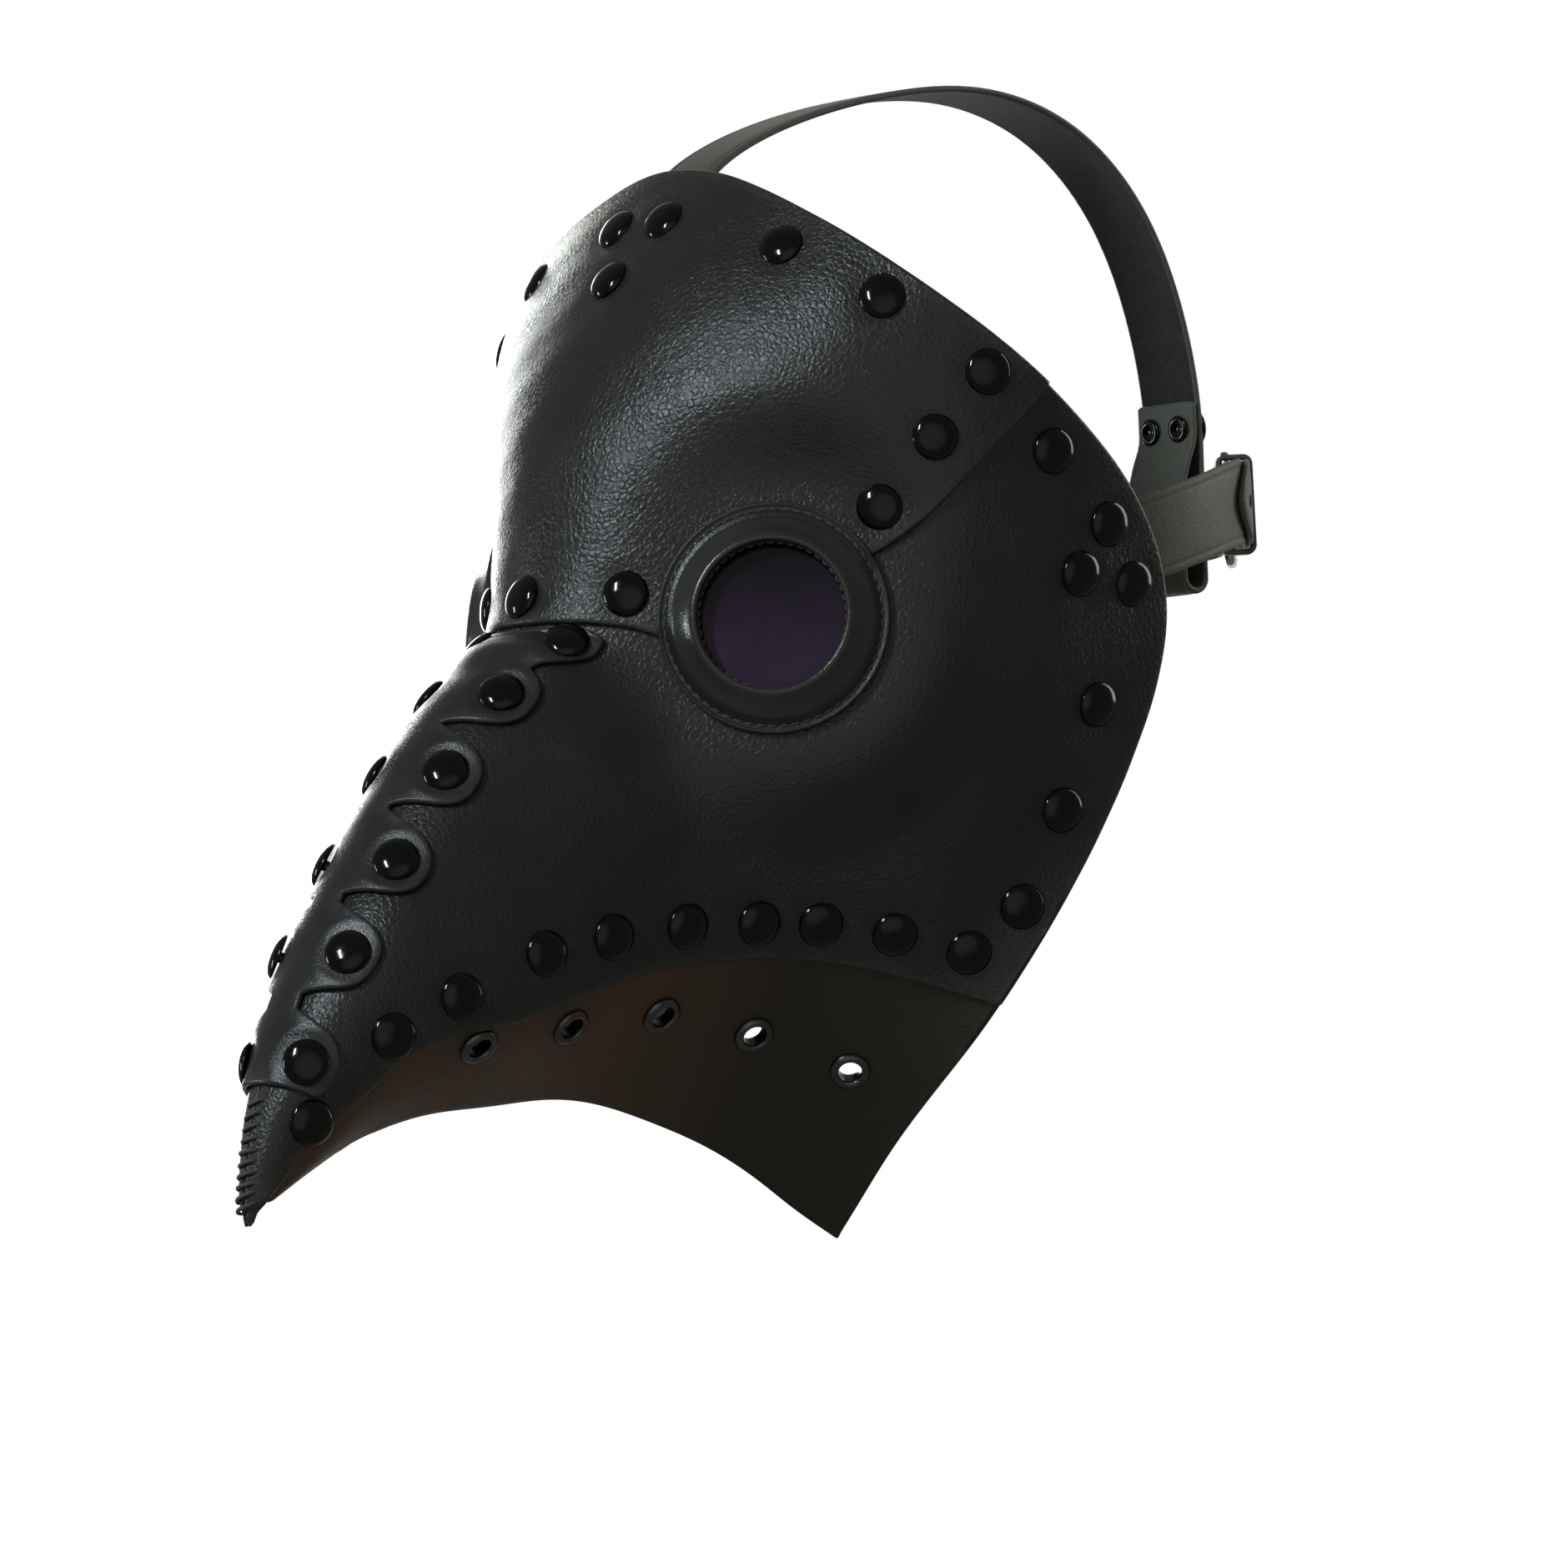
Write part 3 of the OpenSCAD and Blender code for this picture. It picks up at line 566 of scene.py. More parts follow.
def enamel(name, base, rough, coat):
    """Hard black paint over metal, lightly scratched."""
    n = Nodes(name)
    scuff = n.noise(1.6, 5.0, 0.7)
    orange = n.noise(0.8, 2.0, 0.5)
    tone = n.mix(n.span(scuff, 0.55, 0.8, 0, 0.35), base, tuple(c * 2.5 + 0.01 for c in base))
    return n.put(color=tone, rough=n.span(scuff, 0.35, 0.75, rough, rough + 0.1),
                 normal=n.bump(orange, 0.02, 0.5), coat=coat, coat_rough=0.06, specular=0.32)


def metal(name, base, rough):
    n = Nodes(name)
    scuff = n.noise(1.1, 6.0, 0.7)
    blot = n.noise(0.25, 3.0, 0.6)
    tone = n.mix(n.span(blot, 0.35, 0.7, 0, 1), base, tuple(c * 0.62 for c in base))
    return n.put(color=tone, metal=1.0, rough=n.span(scuff, 0.3, 0.8, rough, rough + 0.22),
                 normal=n.bump(scuff, 0.02, 0.4))


def thread(name, base):
    n = Nodes(name)
    twist = n.new("ShaderNodeTexWave", wave_type="BANDS", bands_direction="DIAGONAL")
    twist.inputs["Scale"].default_value = 1.6
    twist.inputs["Distortion"].default_value = 1.2
    n.join(n.mm, twist.inputs["Vector"])
    fuzz = n.noise(4.0, 3.0, 0.7)
    tone = n.mix(twist.outputs["Fac"], base, tuple(c * 2.2 + 0.004 for c in base))
    normal = n.bump(twist.outputs["Fac"], 0.12, 0.7, n.bump(fuzz, 0.05, 0.6))
    return n.put(color=tone, rough=n.span(fuzz, 0.3, 0.7, 0.38, 0.6), normal=normal)


def lens_tint_and_painted_shade(name):
    """Dark violet lens with painted shade: darker towards the top, where the ring's rim shades it."""
    n = Nodes(name)
    apart = n.new("ShaderNodeSeparateXYZ")
    n.join(n.mm, apart.inputs[0])
    # painted shade: the lens is painted near black at the top and violet lower down
    down = n.span(apart.outputs["Z"], 16.0, -14.0, 0.0, 1.0)
    cloud = n.noise(0.09, 2.0, 0.5)
    tone = n.mix(n.math("MULTIPLY", down, n.span(cloud, 0.3, 0.7, 0.75, 1.1), True),
                 (0.004, 0.0035, 0.006), (0.042, 0.021, 0.056))
    return n.put(color=tone, rough=n.span(n.noise(0.6, 4.0, 0.6), 0.4, 0.8, 0.1, 0.18),
                 normal=n.bump(cloud, 0.1, 0.2), specular=0.2)


BLACK = leather("black_leather", (0.0175, 0.0166, 0.0146), (0.055, 0.055, 0.052), 0.25)
BROWN = leather("chin_leather", (0.078, 0.043, 0.025), (0.06, 0.045, 0.035), 0.46,
                specular=0.35, back=(0.027, 0.024, 0.017))
# painted sheen: the strap's base colour is a light grey-green, standing in for light reflected off
# black strap leather
STRAP_WITH_PAINTED_SHEEN = leather("strap_leather", (0.07, 0.077, 0.06), (0.1, 0.1, 0.09), 0.42, grain=1.6,
                depth=0.05)
RING = leather("ring_leather", (0.018, 0.0178, 0.0162), (0.05, 0.05, 0.05), 0.26, grain=1.5,
               depth=0.035, specular=0.42)
RIM = leather("rim_gloss", (0.025, 0.0243, 0.023), (0.045, 0.045, 0.045), 0.2, grain=1.2,
              depth=0.02, specular=0.55)
LINING = backing("lining", (0.012, 0.0115, 0.011))
CAP = enamel("black_enamel", (0.0012, 0.0012, 0.0014), 0.07, 0.1)
CORD = thread("black_thread", (0.045, 0.045, 0.044))
LENS = lens_tint_and_painted_shade("dark_lens")
NICKEL = metal("dark_nickel", (0.13, 0.13, 0.135), 0.2)
STEEL = metal("steel", (0.52, 0.52, 0.54), 0.16)


# ---- panels ----
def panel_grid(us, v_from, v_to, columns):
    """Points of a panel over the form, drawn in by the radius of its rounded edge."""
    t = np.linspace(0, 1, columns)
    u = np.repeat(us[:, None], columns, 1)
    v = v_from[:, None] + (v_to - v_from)[:, None] * t
    p, _ = lay(u, v, 0)
    gap = (v_to - v_from) / (columns - 1)
    first = np.linalg.norm(p[:, 1] - p[:, 0], axis=1) / gap
    last = np.linalg.norm(p[:, -1] - p[:, -2], axis=1) / gap
    a = v_from + EDGE_R / np.maximum(first, 1)
    b = v_to - EDGE_R / np.maximum(last, 1)
    v = a[:, None] + (b - a)[:, None] * t
    u[0] += EDGE_R / (np.linalg.norm(p[1] - p[0], axis=1) / (us[1] - us[0]))
    u[-1] -= EDGE_R / (np.linalg.norm(p[-1] - p[-2], axis=1) / (us[-1] - us[-2]))
    return lay(u, v, 0)


def spots(places, both=False):
    u, v = np.array(places, float).T
    p = lay(u, v, 0)[0]
    return np.concatenate([p, p * FLIP]) if both else p


def dents(p, where, depth=0.45, reach=7.2):
    """How far each point is pressed in by the rivets near it."""
    d = np.min(np.linalg.norm(p[..., None, :] - where, axis=-1), axis=-1)
    return depth * bell(d, 0, reach, 4)


def panel(us, v_from, v_to, columns, layer, pressed, other_side=False):
    p, n = panel_grid(us, v_from, v_to, columns)
    sink = dents(p, pressed)
    near_tip = ease((TIP_SKIVE_U - us) / TIP_SKIVE_U)[:, None]
    p[..., 0] *= 1 - 0.5 * near_tip ** 2
    p[..., 2] -= TIP_POINT * near_tip ** 2 * bell(p[..., 0], 0, 1.2)
    high = layer[1] - sink - TIP_SKIVE * near_tip
    b = Build()
    shell(b, p, n, high, layer[0] - sink)
    return b.mirrored() if other_side else b


def eye_holes(radius, sides=(1, -1)):
    cuts = []
    for s in sides:
        c = drill(stand(EYE, EYE_N), radius, 30, 96)
        cuts.append(c if s > 0 else c.mirrored())
    return cuts


def make_forehead():
    """The panel over the brow, laid over both sides."""
    us = np.linspace(6.98, LAST_U, 92)
    e = smooth_table(us, BROW_EDGE)
    pressed = np.concatenate([spots(TOP_EDGE_AT, True), spots(TOP_STRAP_AT),
                              spots(BRIDGE_AT), spots(SEAM_AT, True)])
    b = panel(us, -e, e, 150, FOREHEAD, pressed)
    obj = finish_piece("forehead", b, ["forehead_panel"], "mask", "black_leather", BLACK, LINING)
    carve(obj, eye_holes(21.5))


def make_side(side):
    """One side of the beak with its cheek, open at the eye."""
    us = np.linspace(0, LAST_U, 230)
    pressed = np.concatenate([spots(x) for x in (BRIDGE_AT, SEAM_AT, CHEEK_AT, SIDE_STRAP_AT,
                                                 JAW_AT, RIDGE_AT)])
    right = side == "right"
    b = panel(us, table(us, SIDE_TOP), smooth_table(us, JAW_EDGE), 72, SIDE, pressed,
              right)
    obj = finish_piece("side_" + side, b, ["side_panel_" + side], "mask", "black_leather",
                       BLACK, LINING)
    carve(obj, eye_holes(21.5, (-1,) if right else (1,)))


def make_chin():
    """The folded piece under the beak, with its eyelet holes."""
    us = np.linspace(0.3, LAST_U, 150)
    e = smooth_table(us, CHIN_TOP)
    b = panel(us, e, 2 * LAST_V - e, 73, CHIN, spots(JAW_AT, True))
    obj = finish_piece("chin", b, ["chin_panel"], "mask", "chin_leather", BROWN, LINING)
    cuts = []
    for u, v in EYELET_AT:
        p, n = lay(u, v, 0)
        cut = drill(stand(p, n), 3.5, 10, 32)
        cuts += [cut, cut.mirrored()]
    carve(obj, cuts)


def strip_half(u):
    """Half width of the ridge strip, with the corners between its tabs rounded off."""
    return sum(tab_outline(u + d) for d in np.linspace(-0.055, 0.055, 7)) / 7


def tab_outline(u):
    a = table(u, RIDGE_ARC)
    waist = (5 - EDGE_R) / a
    half = waist.copy()
    for at, v in RIDGE_AT:
        d = np.clip(np.abs(u - at) / 0.39, 0, 1)
        bump = (1 - d ** 2.6) ** 0.55
        half = np.maximum(half, waist + bump * (v + (8 - EDGE_R) / a - waist))
    return half


def make_ridge_strip():
    """Scalloped strip down the ridge; its rows lie closer where its outline turns."""
    fine = np.linspace(1.73, 6.91, 6000)
    half = strip_half(fine)
    arc = table(fine, RIDGE_ARC)
    step = np.hypot(np.gradient(fine) * 26, np.gradient(half) * arc)
    run = np.concatenate([[0], np.cumsum(step[1:])])
    us = np.interp(np.linspace(0, run[-1], 520), run, fine)
    half = strip_half(us)
    v = half[:, None] * np.linspace(-1, 1, 33)
    u = np.repeat(us[:, None], 33, 1)
    p, n = lay(u, v, 0)
    d = np.min(np.linalg.norm(p[..., None, :] - spots(RIDGE_AT, True), axis=-1), axis=-1)
    curl = 0.2 * bell(d, 8.2, 1.5)
    lift = STRIP_LOW + curl - 0.5 * bell(d, 0, 6.6, 4)
    b = Build()
    shell(b, p, n, lift + STRIP_T, lift, rings=7)
    finish_piece("ridge_strip_leather", b, ["ridge_strip"], "mask", "black_leather", RING, LINING)


# ---- rivets and eyelets ----
RANDOM = np.random.default_rng(5)
CAP_R, CAP_H = 5.8, 2.4


def rivet(build, place, top, bottom):
    """Domed cap, post and pressed inner cap on one axis."""
    r = np.array([0, 0.8, 1.6, 2.4, 3.2, 4.0, 4.6, 5.1, 5.45, 5.68])
    z = top + 0.3 + (CAP_H - 0.3) * (1 - (r / CAP_R) ** 2.5) ** 0.62
    cap = list(zip(r, z))
    cap += [(CAP_R, top + 0.42), (CAP_R + 0.04, top + 0.2), (5.7, top), (5.3, top - 0.1)]
    tail = [(1.4, top - 0.1), (1.4, bottom), (3.3, bottom), (3.6, bottom - 0.2),
            (3.62, bottom - 0.5), (3.3, bottom - 0.85), (2.5, bottom - 0.95),
            (1.9, bottom - 0.8), (1.5, bottom - 0.45), (0, bottom - 0.4)]
    lathe(build, cap + tail, place, 40, closed=False)


def make_rivets(name, nodes, places, top, bottom, both=False, other_side=False):
    b = Build()
    for u, v in places:
        p, n = lay(u, v, 0)
        tilt = RANDOM.normal(0, 0.018, 3)
        rivet(b, stand(p, n + tilt), top - 0.35, bottom)
    if both:
        b = b.merged(b.mirrored())
    if other_side:
        b = b.mirrored()
    finish_piece(name, b, nodes, "mask", "black_enamel", CAP, crease=55)


def make_eyelets(side):
    b = Build()
    for u, v in EYELET_AT:
        p, n = lay(u, v, 0)
        ring = [(2.9, 0.2), (3.0, 0.9), (3.3, 1.25), (3.8, 1.4), (4.3, 1.3), (4.8, 0.95),
                (5.1, 0.55), (5.2, 0.2), (5.1, -0.05), (4.6, -0.15), (3.4, -0.15), (3.4, -2.0),
                (4.4, -2.0), (4.6, -2.25), (4.4, -2.75), (3.6, -2.95), (3.1, -2.8), (2.9, -2.3)]
        lathe(b, ring, stand(p, n), 40)
    if side == "right":
        b = b.mirrored()
    finish_piece("eyelets_metal_" + side, b, ["eyelets_" + side], "mask", "dark_nickel", NICKEL)


# ---- eyes ----
EYE_PLACE = stand(EYE, EYE_N)
FLANGE_R, FLANGE_TOP = 29.0, 6.6


def eye_point(r, phi, z):
    """Points by radius, angle and height about the eye's axis."""
    local = np.stack([r * np.cos(phi), r * np.sin(phi), z + 0 * phi], -1)
    return local @ EYE_PLACE[:3, :3].T + EYE_PLACE[:3, 3]


def under_flange(phi):
    """1 where the flange's outer edge lies on the forehead panel, 0 on the side panel."""
    us = np.linspace(7.02, 10, 90)
    e = smooth_table(us, BROW_EDGE)
    v = e[:, None] * np.linspace(0, 1, 70)
    cloud = surface(np.repeat(us[:, None], 70, 1), v).reshape(-1, 3)
    edge = eye_point(FLANGE_R, phi, 0)
    near = np.array([np.min(np.linalg.norm(cloud - q, axis=1)) for q in edge])
    cover = (near < 1.6).astype(float)
    return sum(np.roll(cover, k) for k in range(-2, 3)) / 5


PHI = np.linspace(0, 2 * math.pi, 160, endpoint=False)
COVER = under_flange(PHI)


def flange_top(r, phi):
    cover = np.interp(phi % (2 * math.pi), np.append(PHI, 2 * math.pi), np.append(COVER, COVER[0]))
    drop = (0.8 + 2.0 * (1 - cover)) * ease((r - 24.0) / 4.2)
    groove = 0.3 * bell(r, 27.2, 0.5)
    bead = 0.4 * bell(r, 28.55, 0.42)
    return FLANGE_TOP - drop - groove + bead


def flange_build():
    """The eye ring's leather: it slopes down outwards, with a groove and a bead at its edge."""
    b = Build()
    rows = []
    for r in (20.3, 18.95):
        rows.append(eye_point(r, PHI, 5.45 if r < 20 else 4.1))
    for r in (18.85, 19.2, 20.5, 23, 24.3, 25.2, 26.0, 26.5, 26.9, 27.2, 27.5, 27.9, 28.2, 28.45,
              28.7, 28.9):
        rows.append(eye_point(r, PHI, flange_top(np.full_like(PHI, r), PHI)))
    rim = flange_top(np.full_like(PHI, 28.9), PHI)
    foot = 3.9 - 2.0 * (1 - COVER)
    for r, f in ((29.05, 0.72), (29.1, 0.4), (29.0, 0.12), (28.7, 0.0)):
        rows.append(eye_point(r, PHI, foot + (rim - foot) * f))
    rows.append(eye_point(26.0, PHI, foot + 0.3 * (4.0 - foot)))
    rows.append(eye_point(22.5, PHI, 4.02))
    pts = np.array(rows)
    wear = np.zeros(pts.shape[:2])
    wear[12:20] = 0.8
    b.add(pts, strips(len(rows), len(PHI), wrap_u=True, wrap_v=True), wear.reshape(-1))
    return b


def rim_build():
    """The raised cone of the eye ring."""
    b = Build()
    profile = [(25.7, 5.95), (25.4, 6.4), (24.8, 6.9), (24.0, 7.45), (23.1, 8.1), (22.2, 8.85),
               (21.4, 9.6), (20.8, 10.2), (20.3, 10.6), (19.8, 10.85), (19.35, 10.9),
               (18.9, 10.7), (18.65, 10.2), (18.6, 9.0), (18.6, 7.0), (18.6, 6.66), (20, 6.5),
               (25.3, 5.85)]
    lathe(b, profile, EYE_PLACE, 128)
    return b


def stitch(build, points, out, radius, rise=0.16, sink=0.3):
    """One thread stitch along points: proud in the middle, diving at both ends."""
    k = np.linspace(-1, 1, len(points))
    lift = rise - (rise + sink) * np.abs(k) ** 4
    path = points + lift[:, None] * out
    radii = radius * (1 - 0.35 * np.abs(k) ** 5)
    tube(build, path, radii, 8)


def ring_stitches_build():
    b = Build()
    count = 58
    for k in range(count):
        mid = 2 * math.pi * k / count
        phi = mid + np.linspace(-0.36, 0.36, 7) * 2 * math.pi / count
        r = np.full_like(phi, 27.2)
        stitch(b, eye_point(r, phi, flange_top(r, phi)), EYE_N, 0.34)
    count = 46
    for k in range(count):
        mid = 2 * math.pi * (k + 0.4) / count
        phi = mid + np.linspace(-0.36, 0.36, 7) * 2 * math.pi / count
        p = eye_point(np.full_like(phi, 18.55), phi, 7.3)
        inward = unit(eye_point(0 * phi, phi, 7.3) - p)
        stitch(b, p, inward, 0.3)
    return b


def lens_build():
    """A shallow domed disc with rounded edges."""
    b = Build()
    r = np.linspace(0, 19.6, 14)
    profile = [(x, 5.15 + 0.7 * (1 - (x / 20) ** 2)) for x in r]
    profile += [(19.95, 5.1), (20.0, 4.7), (19.9, 4.2), (19, 4.1)]
    profile += [(x, 4.1 + 0.4 * (1 - (x / 20) ** 2)) for x in r[::-1]]
    lathe(b, profile, EYE_PLACE, 96, closed=False)
    return b


def retainer_build():
    """The ring behind the lens that holds it in its seat."""
    b = Build()
    profile = [(18.7, -2.0), (19.0, -2.3), (26.4, -2.3), (26.9, -2.1), (27, -1.6), (26.8, -0.9),
               (26.3, -0.7), (20.8, -0.7), (20.8, 3.8), (18.6, 3.8), (18.6, -1.4)]
    lathe(b, profile, EYE_PLACE, 128)
    return b


def make_eyes(side):
    pieces = [
        ("eye_flange_leather_", "eye_flange_", "black_leather", RING, flange_build()),
        ("eye_rim_leather_", "eye_rim_", "rim_gloss", RIM, rim_build()),
        ("eye_stitches_", "ring_stitching_", "black_thread", CORD, ring_stitches_build()),
        ("lens_disc_", "lens_", "dark_lens", LENS, lens_build()),
        ("lens_seat_", "lens_retainer_", "rim_gloss", RIM, retainer_build()),
    ]
    for name, node, slot, material, b in pieces:
        if side == "right":
            b = b.mirrored()
        finish_piece(name + side, b, [node + side], "mask", slot, material, crease=65)


def make_tip_stitches():
    """Whip stitches that close the seam of the beak's tip, each a little askew."""
    b = Build()
    for k, u in enumerate(np.linspace(0.16, 1.5, 10)):
        wide = np.linalg.norm(lay(u, 1.0, 0)[0] - lay(u, 0.0, 0)[0])
        side = np.linspace(-1, 1, 11)
        askew = RANDOM.normal(0, 0.1, 3)
        reach = (2.5 + askew[0]) * (0.8 if k == 0 else 1)
        v = (side * reach + askew[1]) / wide
        lean = u + (0.05 + 0.15 * askew[2]) * side
        rise = 1.8 + 0.62 - 1.3 * np.abs(side) ** 4
        p = np.array([lay(a, c, h)[0] for a, c, h in zip(lean, v, rise)])
        tube(b, p, 0.56 * (1 - 0.4 * np.abs(side) ** 5), 8)
    finish_piece("tip_whip_stitches", b, ["tip_stitching"], "mask", "black_thread", CORD)


# ---- harness ----
BUCKLE = np.array([53.0, 74.5, 28.0])
ALONG, OUT = np.array([0.8, -0.6, 0]), np.array([0.6, 0.8, 0])
SIDE_ROUTE = np.array([
    [86.6, -16, 10], [86.8, -3, 12.5], [88.6, 12, 17], [87.5, 28, 21], [83, 44, 25],
    [75, 58, 28], [63, 67, 28], [51, 76, 28], [39, 85, 28], [27, 94, 28], [12, 100, 28],
    [-4, 101, 28], [-20, 98, 28], [-38, 88, 28], [-55, 74, 28], [-70, 59, 27], [-81, 43, 25],
    [-87.5, 28, 21], [-88.6, 12, 17], [-86.8, -3, 12.5], [-86.6, -16, 10]], float)
BAR_T = 6 + 12.5 / 15
TOP_ROUTE = np.array([
    [-88, 77], [-80.6, 88.2], [-70, 102.2], [-59, 115.5], [-46, 124], [-27, 131.5], [0, 138],
    [35, 141], [68, 131], [91, 108], [102, 80], [105.5, 58], [105.5, 44], [105.3, 30],
    [105, 19]], float)
TAIL_LIFT = [(-24, 0), (-18, -0.8), (-13, -0.5), (-6, 3), (-3, 4.5), (3, 4.5), (8, 3), (25, 3),
             (40, 2.2)]
LEAD_LIFT = [(0, 2.4), (3, 2.4), (9, 0.95), (25, 0.95), (40, 0)]
COLUMNS = np.array([-10.2, -9.7, -9.2, -8.8, -8.4, -7.8, -6, -4, -2, 0, 2, 4, 6, 7.8, 8.4, 8.8,
                    9.2, 9.7, 10.2])


def curve_net(a):
    """Control points of a B-spline that follows the route a."""
    return grow(push(a, grow(a)))


def curve_at(net, t):
    k = np.clip(np.floor(t), 0, len(net) - 4).astype(int)
    w = basis(t - k)
    return sum(w[..., i, None] * net[k + i] for i in range(4))


SIDE_NET, TOP_NET = curve_net(SIDE_ROUTE), curve_net(TOP_ROUTE)


def side_stations(t, lift):
    """Centres, width directions and outward directions of the side strap."""
    p = curve_at(SIDE_NET, t)
    d = unit(curve_at(SIDE_NET, np.minimum(t + 0.02, 20)) - curve_at(SIDE_NET, np.maximum(t - 0.02, 0)))
    lean = 0.15 * (1 - ease((np.minimum(t, 20 - t) - 2) / 3.5)) * np.sign(10 - t)
    w = unit(np.stack([lean, 0 * t, 1 + 0 * t], -1))
    n = -unit(np.cross(w, d))
    return p + lift[:, None] * n, unit(np.cross(n, d)), n


def in_buckle(x, y, z=0.0):
    """Points by distance along the strap, outward and upward from the buckle's bar."""
    x, y, z = np.broadcast_arrays(x, y, z)
    return BUCKLE + x[..., None] * ALONG + y[..., None] * OUT + z[..., None] * UP


def strap(build, centre, wide, nrm, taper=None, thick=1.8):
    """A strap with round edges and a pressed crease along each edge."""
    x = COLUMNS if taper is None else COLUMNS[None] * taper[:, None]
    x = np.broadcast_to(x, (len(centre), len(COLUMNS)))
    mid = centre[:, None] + x[..., None] * wide[:, None]
    n = np.broadcast_to(nrm[:, None], mid.shape)
    crease = 0.2 * bell(np.abs(COLUMNS), 8.8, 0.4)
    belly = 0.12 * (1 - (COLUMNS / 10.2) ** 2)
    high = thick / 2 - 0.1 - crease + belly
    low = -thick / 2 + 0.0 * COLUMNS
    high[0] = high[-1] = thick / 2 - 0.1
    shell(build, mid, n, high[None] + np.zeros((len(centre), 1)),
          low[None] + np.zeros((len(centre), 1)))


def prism(outline, low, high):
    """A closed cutter through the buckle's plane: outline in (x, z), from y low to high."""
    x, z = np.array(outline, float).T
    b = Build()
    k = len(x)
    pts = np.concatenate([in_buckle(x, low + 0 * x, z), in_buckle(x, high + 0 * x, z)])
    faces = [[i, (i + 1) % k, (i + 1) % k + k, i + k] for i in range(k)]
    b.add(pts, faces + [list(range(k))[::-1], list(range(k, 2 * k))])
    return b


def make_left_strap():
    """The side strap on the wearer's left, folded round the buckle's bar."""
    t = np.concatenate([np.linspace(0.44, 5.8, 60), np.linspace(5.86, BAR_T, 16)])
    x = (BAR_T - t) * 15
    c, w, n = side_stations(t, smooth_table(x, LEAD_LIFT, 1.5))
    a = np.radians(np.linspace(10, 170, 17))
    c2 = in_buckle(-2.4 * np.sin(a), 2.4 * np.cos(a))
    n2 = -np.sin(a)[:, None] * ALONG + np.cos(a)[:, None] * OUT
    x3 = np.linspace(0, 12.1, 9)
    c3 = in_buckle(x3, -smooth_table(x3, LEAD_LIFT, 1.0))
    n3 = np.repeat(-OUT[None], len(x3), 0)
    up = np.repeat(UP[None], len(a) + len(x3), 0)
    b = Build()
    strap(b, np.concatenate([c, c2, c3]), np.concatenate([w, up]), np.concatenate([n, n2, n3]))
    obj = finish_piece("side_strap_buckle_end", b, ["side_strap_left"], "mask", "strap_leather",
                       STRAP_WITH_PAINTED_SHEEN, LINING)
    carve(obj, [prism([(-6, -2), (2.5, -2), (2.5, 2), (-6, 2)], -5, 5)])


def make_right_strap():
    """The side strap that passes through the buckle and ends in a rounded, punched tail."""
    t = np.concatenate([4.6 + np.linspace(0.01, 1, 26) ** 1.5 * 0.95, np.linspace(5.6, 9, 76),
                        np.linspace(9.1, 19.56, 120)])
    x = (BAR_T - t) * 15
    c, w, n = side_stations(t, smooth_table(x, TAIL_LIFT, 1.2))
    s = np.clip((t - 4.6) * 15 / 13.5, 0.001, 1)
    taper = (1 - (1 - s) ** 1.8) ** 0.6
    b = Build()
    strap(b, c, w, n, taper)
    obj = finish_piece("side_strap_tail_end", b, ["side_strap_right"], "mask", "strap_leather",
                       STRAP_WITH_PAINTED_SHEEN, LINING)
    turn = np.linspace(-math.pi / 2, math.pi / 2, 13)
    start, end, r = 0.1, -10.9, 1.8
    slot = [(start - r + r * math.cos(a), r * math.sin(a)) for a in turn]
    slot += [(end + r - r * math.cos(a), -r * math.sin(a)) for a in turn]
    cuts = [prism(slot, -12, 12)]
    for hole in (4.95, 5.55, 8.55, 9.3, 10.05):
        at = np.array([hole])
        p, _, q = side_stations(at, smooth_table((BAR_T - at) * 15, TAIL_LIFT, 1.2))
        cuts.append(drill(stand(p[0], q[0]), 1.8, 10, 28))
    carve(obj, cuts)


def make_top_strap():
    """The crown strap and its loop round the side strap."""
    t = np.linspace(0.28, 14, 130)
    p = curve_at(TOP_NET, t)
    d = unit(curve_at(TOP_NET, np.minimum(t + 0.02, 14)) - curve_at(TOP_NET, np.maximum(t - 0.02, 0)))
    n = np.stack([0 * t, -d[:, 1], d[:, 0]], -1)
    c = np.stack([0 * t, p[:, 0], p[:, 1]], -1)
    a = np.radians(np.linspace(12, 168, 15))
    c2 = np.stack([0 * a, 101.2 + 3.8 * np.cos(a), 13.5 - 3.8 * np.sin(a)], -1)
    n2 = np.stack([0 * a, np.cos(a), -np.sin(a)], -1)
    z = np.linspace(14, 59.4, 26)
    y = smooth_table(z, [(14, 97.4), (24, 97.4), (36, 97.8), (44, 100.6), (50, 103.5),
                         (60, 103.6)], 2)
    c3 = np.stack([0 * z, y, z], -1)
    slope = np.gradient(y, z)
    n3 = unit(np.stack([0 * z, -1 + 0 * z, slope], -1))
    centre, nrm = np.concatenate([c, c2, c3]), np.concatenate([n, n2, n3])
    wide = np.repeat(np.array([[-1.0, 0, 0]]), len(centre), 0)
    b = Build()
    strap(b, centre, wide, nrm)
    finish_piece("crown_strap", b, ["top_strap"], "mask", "strap_leather", STRAP_WITH_PAINTED_SHEEN, LINING)


def make_loop_rivets():
    b = Build()
    for x in (-5.5, 5.5):
        rivet(b, stand(np.array([x, 106.5, 53.0]), (0, 1, 0)), 0.0, -4.0)
    finish_piece("crown_loop_rivets", b, ["loop_rivets"], "mask", "black_enamel", CAP, crease=55)


def rounded_loop(x0, x1, y0, y1, radius, per_corner=8):
    """A rounded rectangle as a closed list of points and outward directions."""
    pts, out = [], []
    corners = [(x1 - radius, y0 + radius, -90), (x1 - radius, y1 - radius, 0),
               (x0 + radius, y1 - radius, 90), (x0 + radius, y0 + radius, 180)]
    for cx, cy, start in corners:
        for k in range(per_corner + 1):
            a = math.radians(start + 90 * k / per_corner)
            out.append((math.cos(a), math.sin(a)))
            pts.append((cx + radius * math.cos(a), cy + radius * math.sin(a)))
    return np.array(pts), np.array(out)


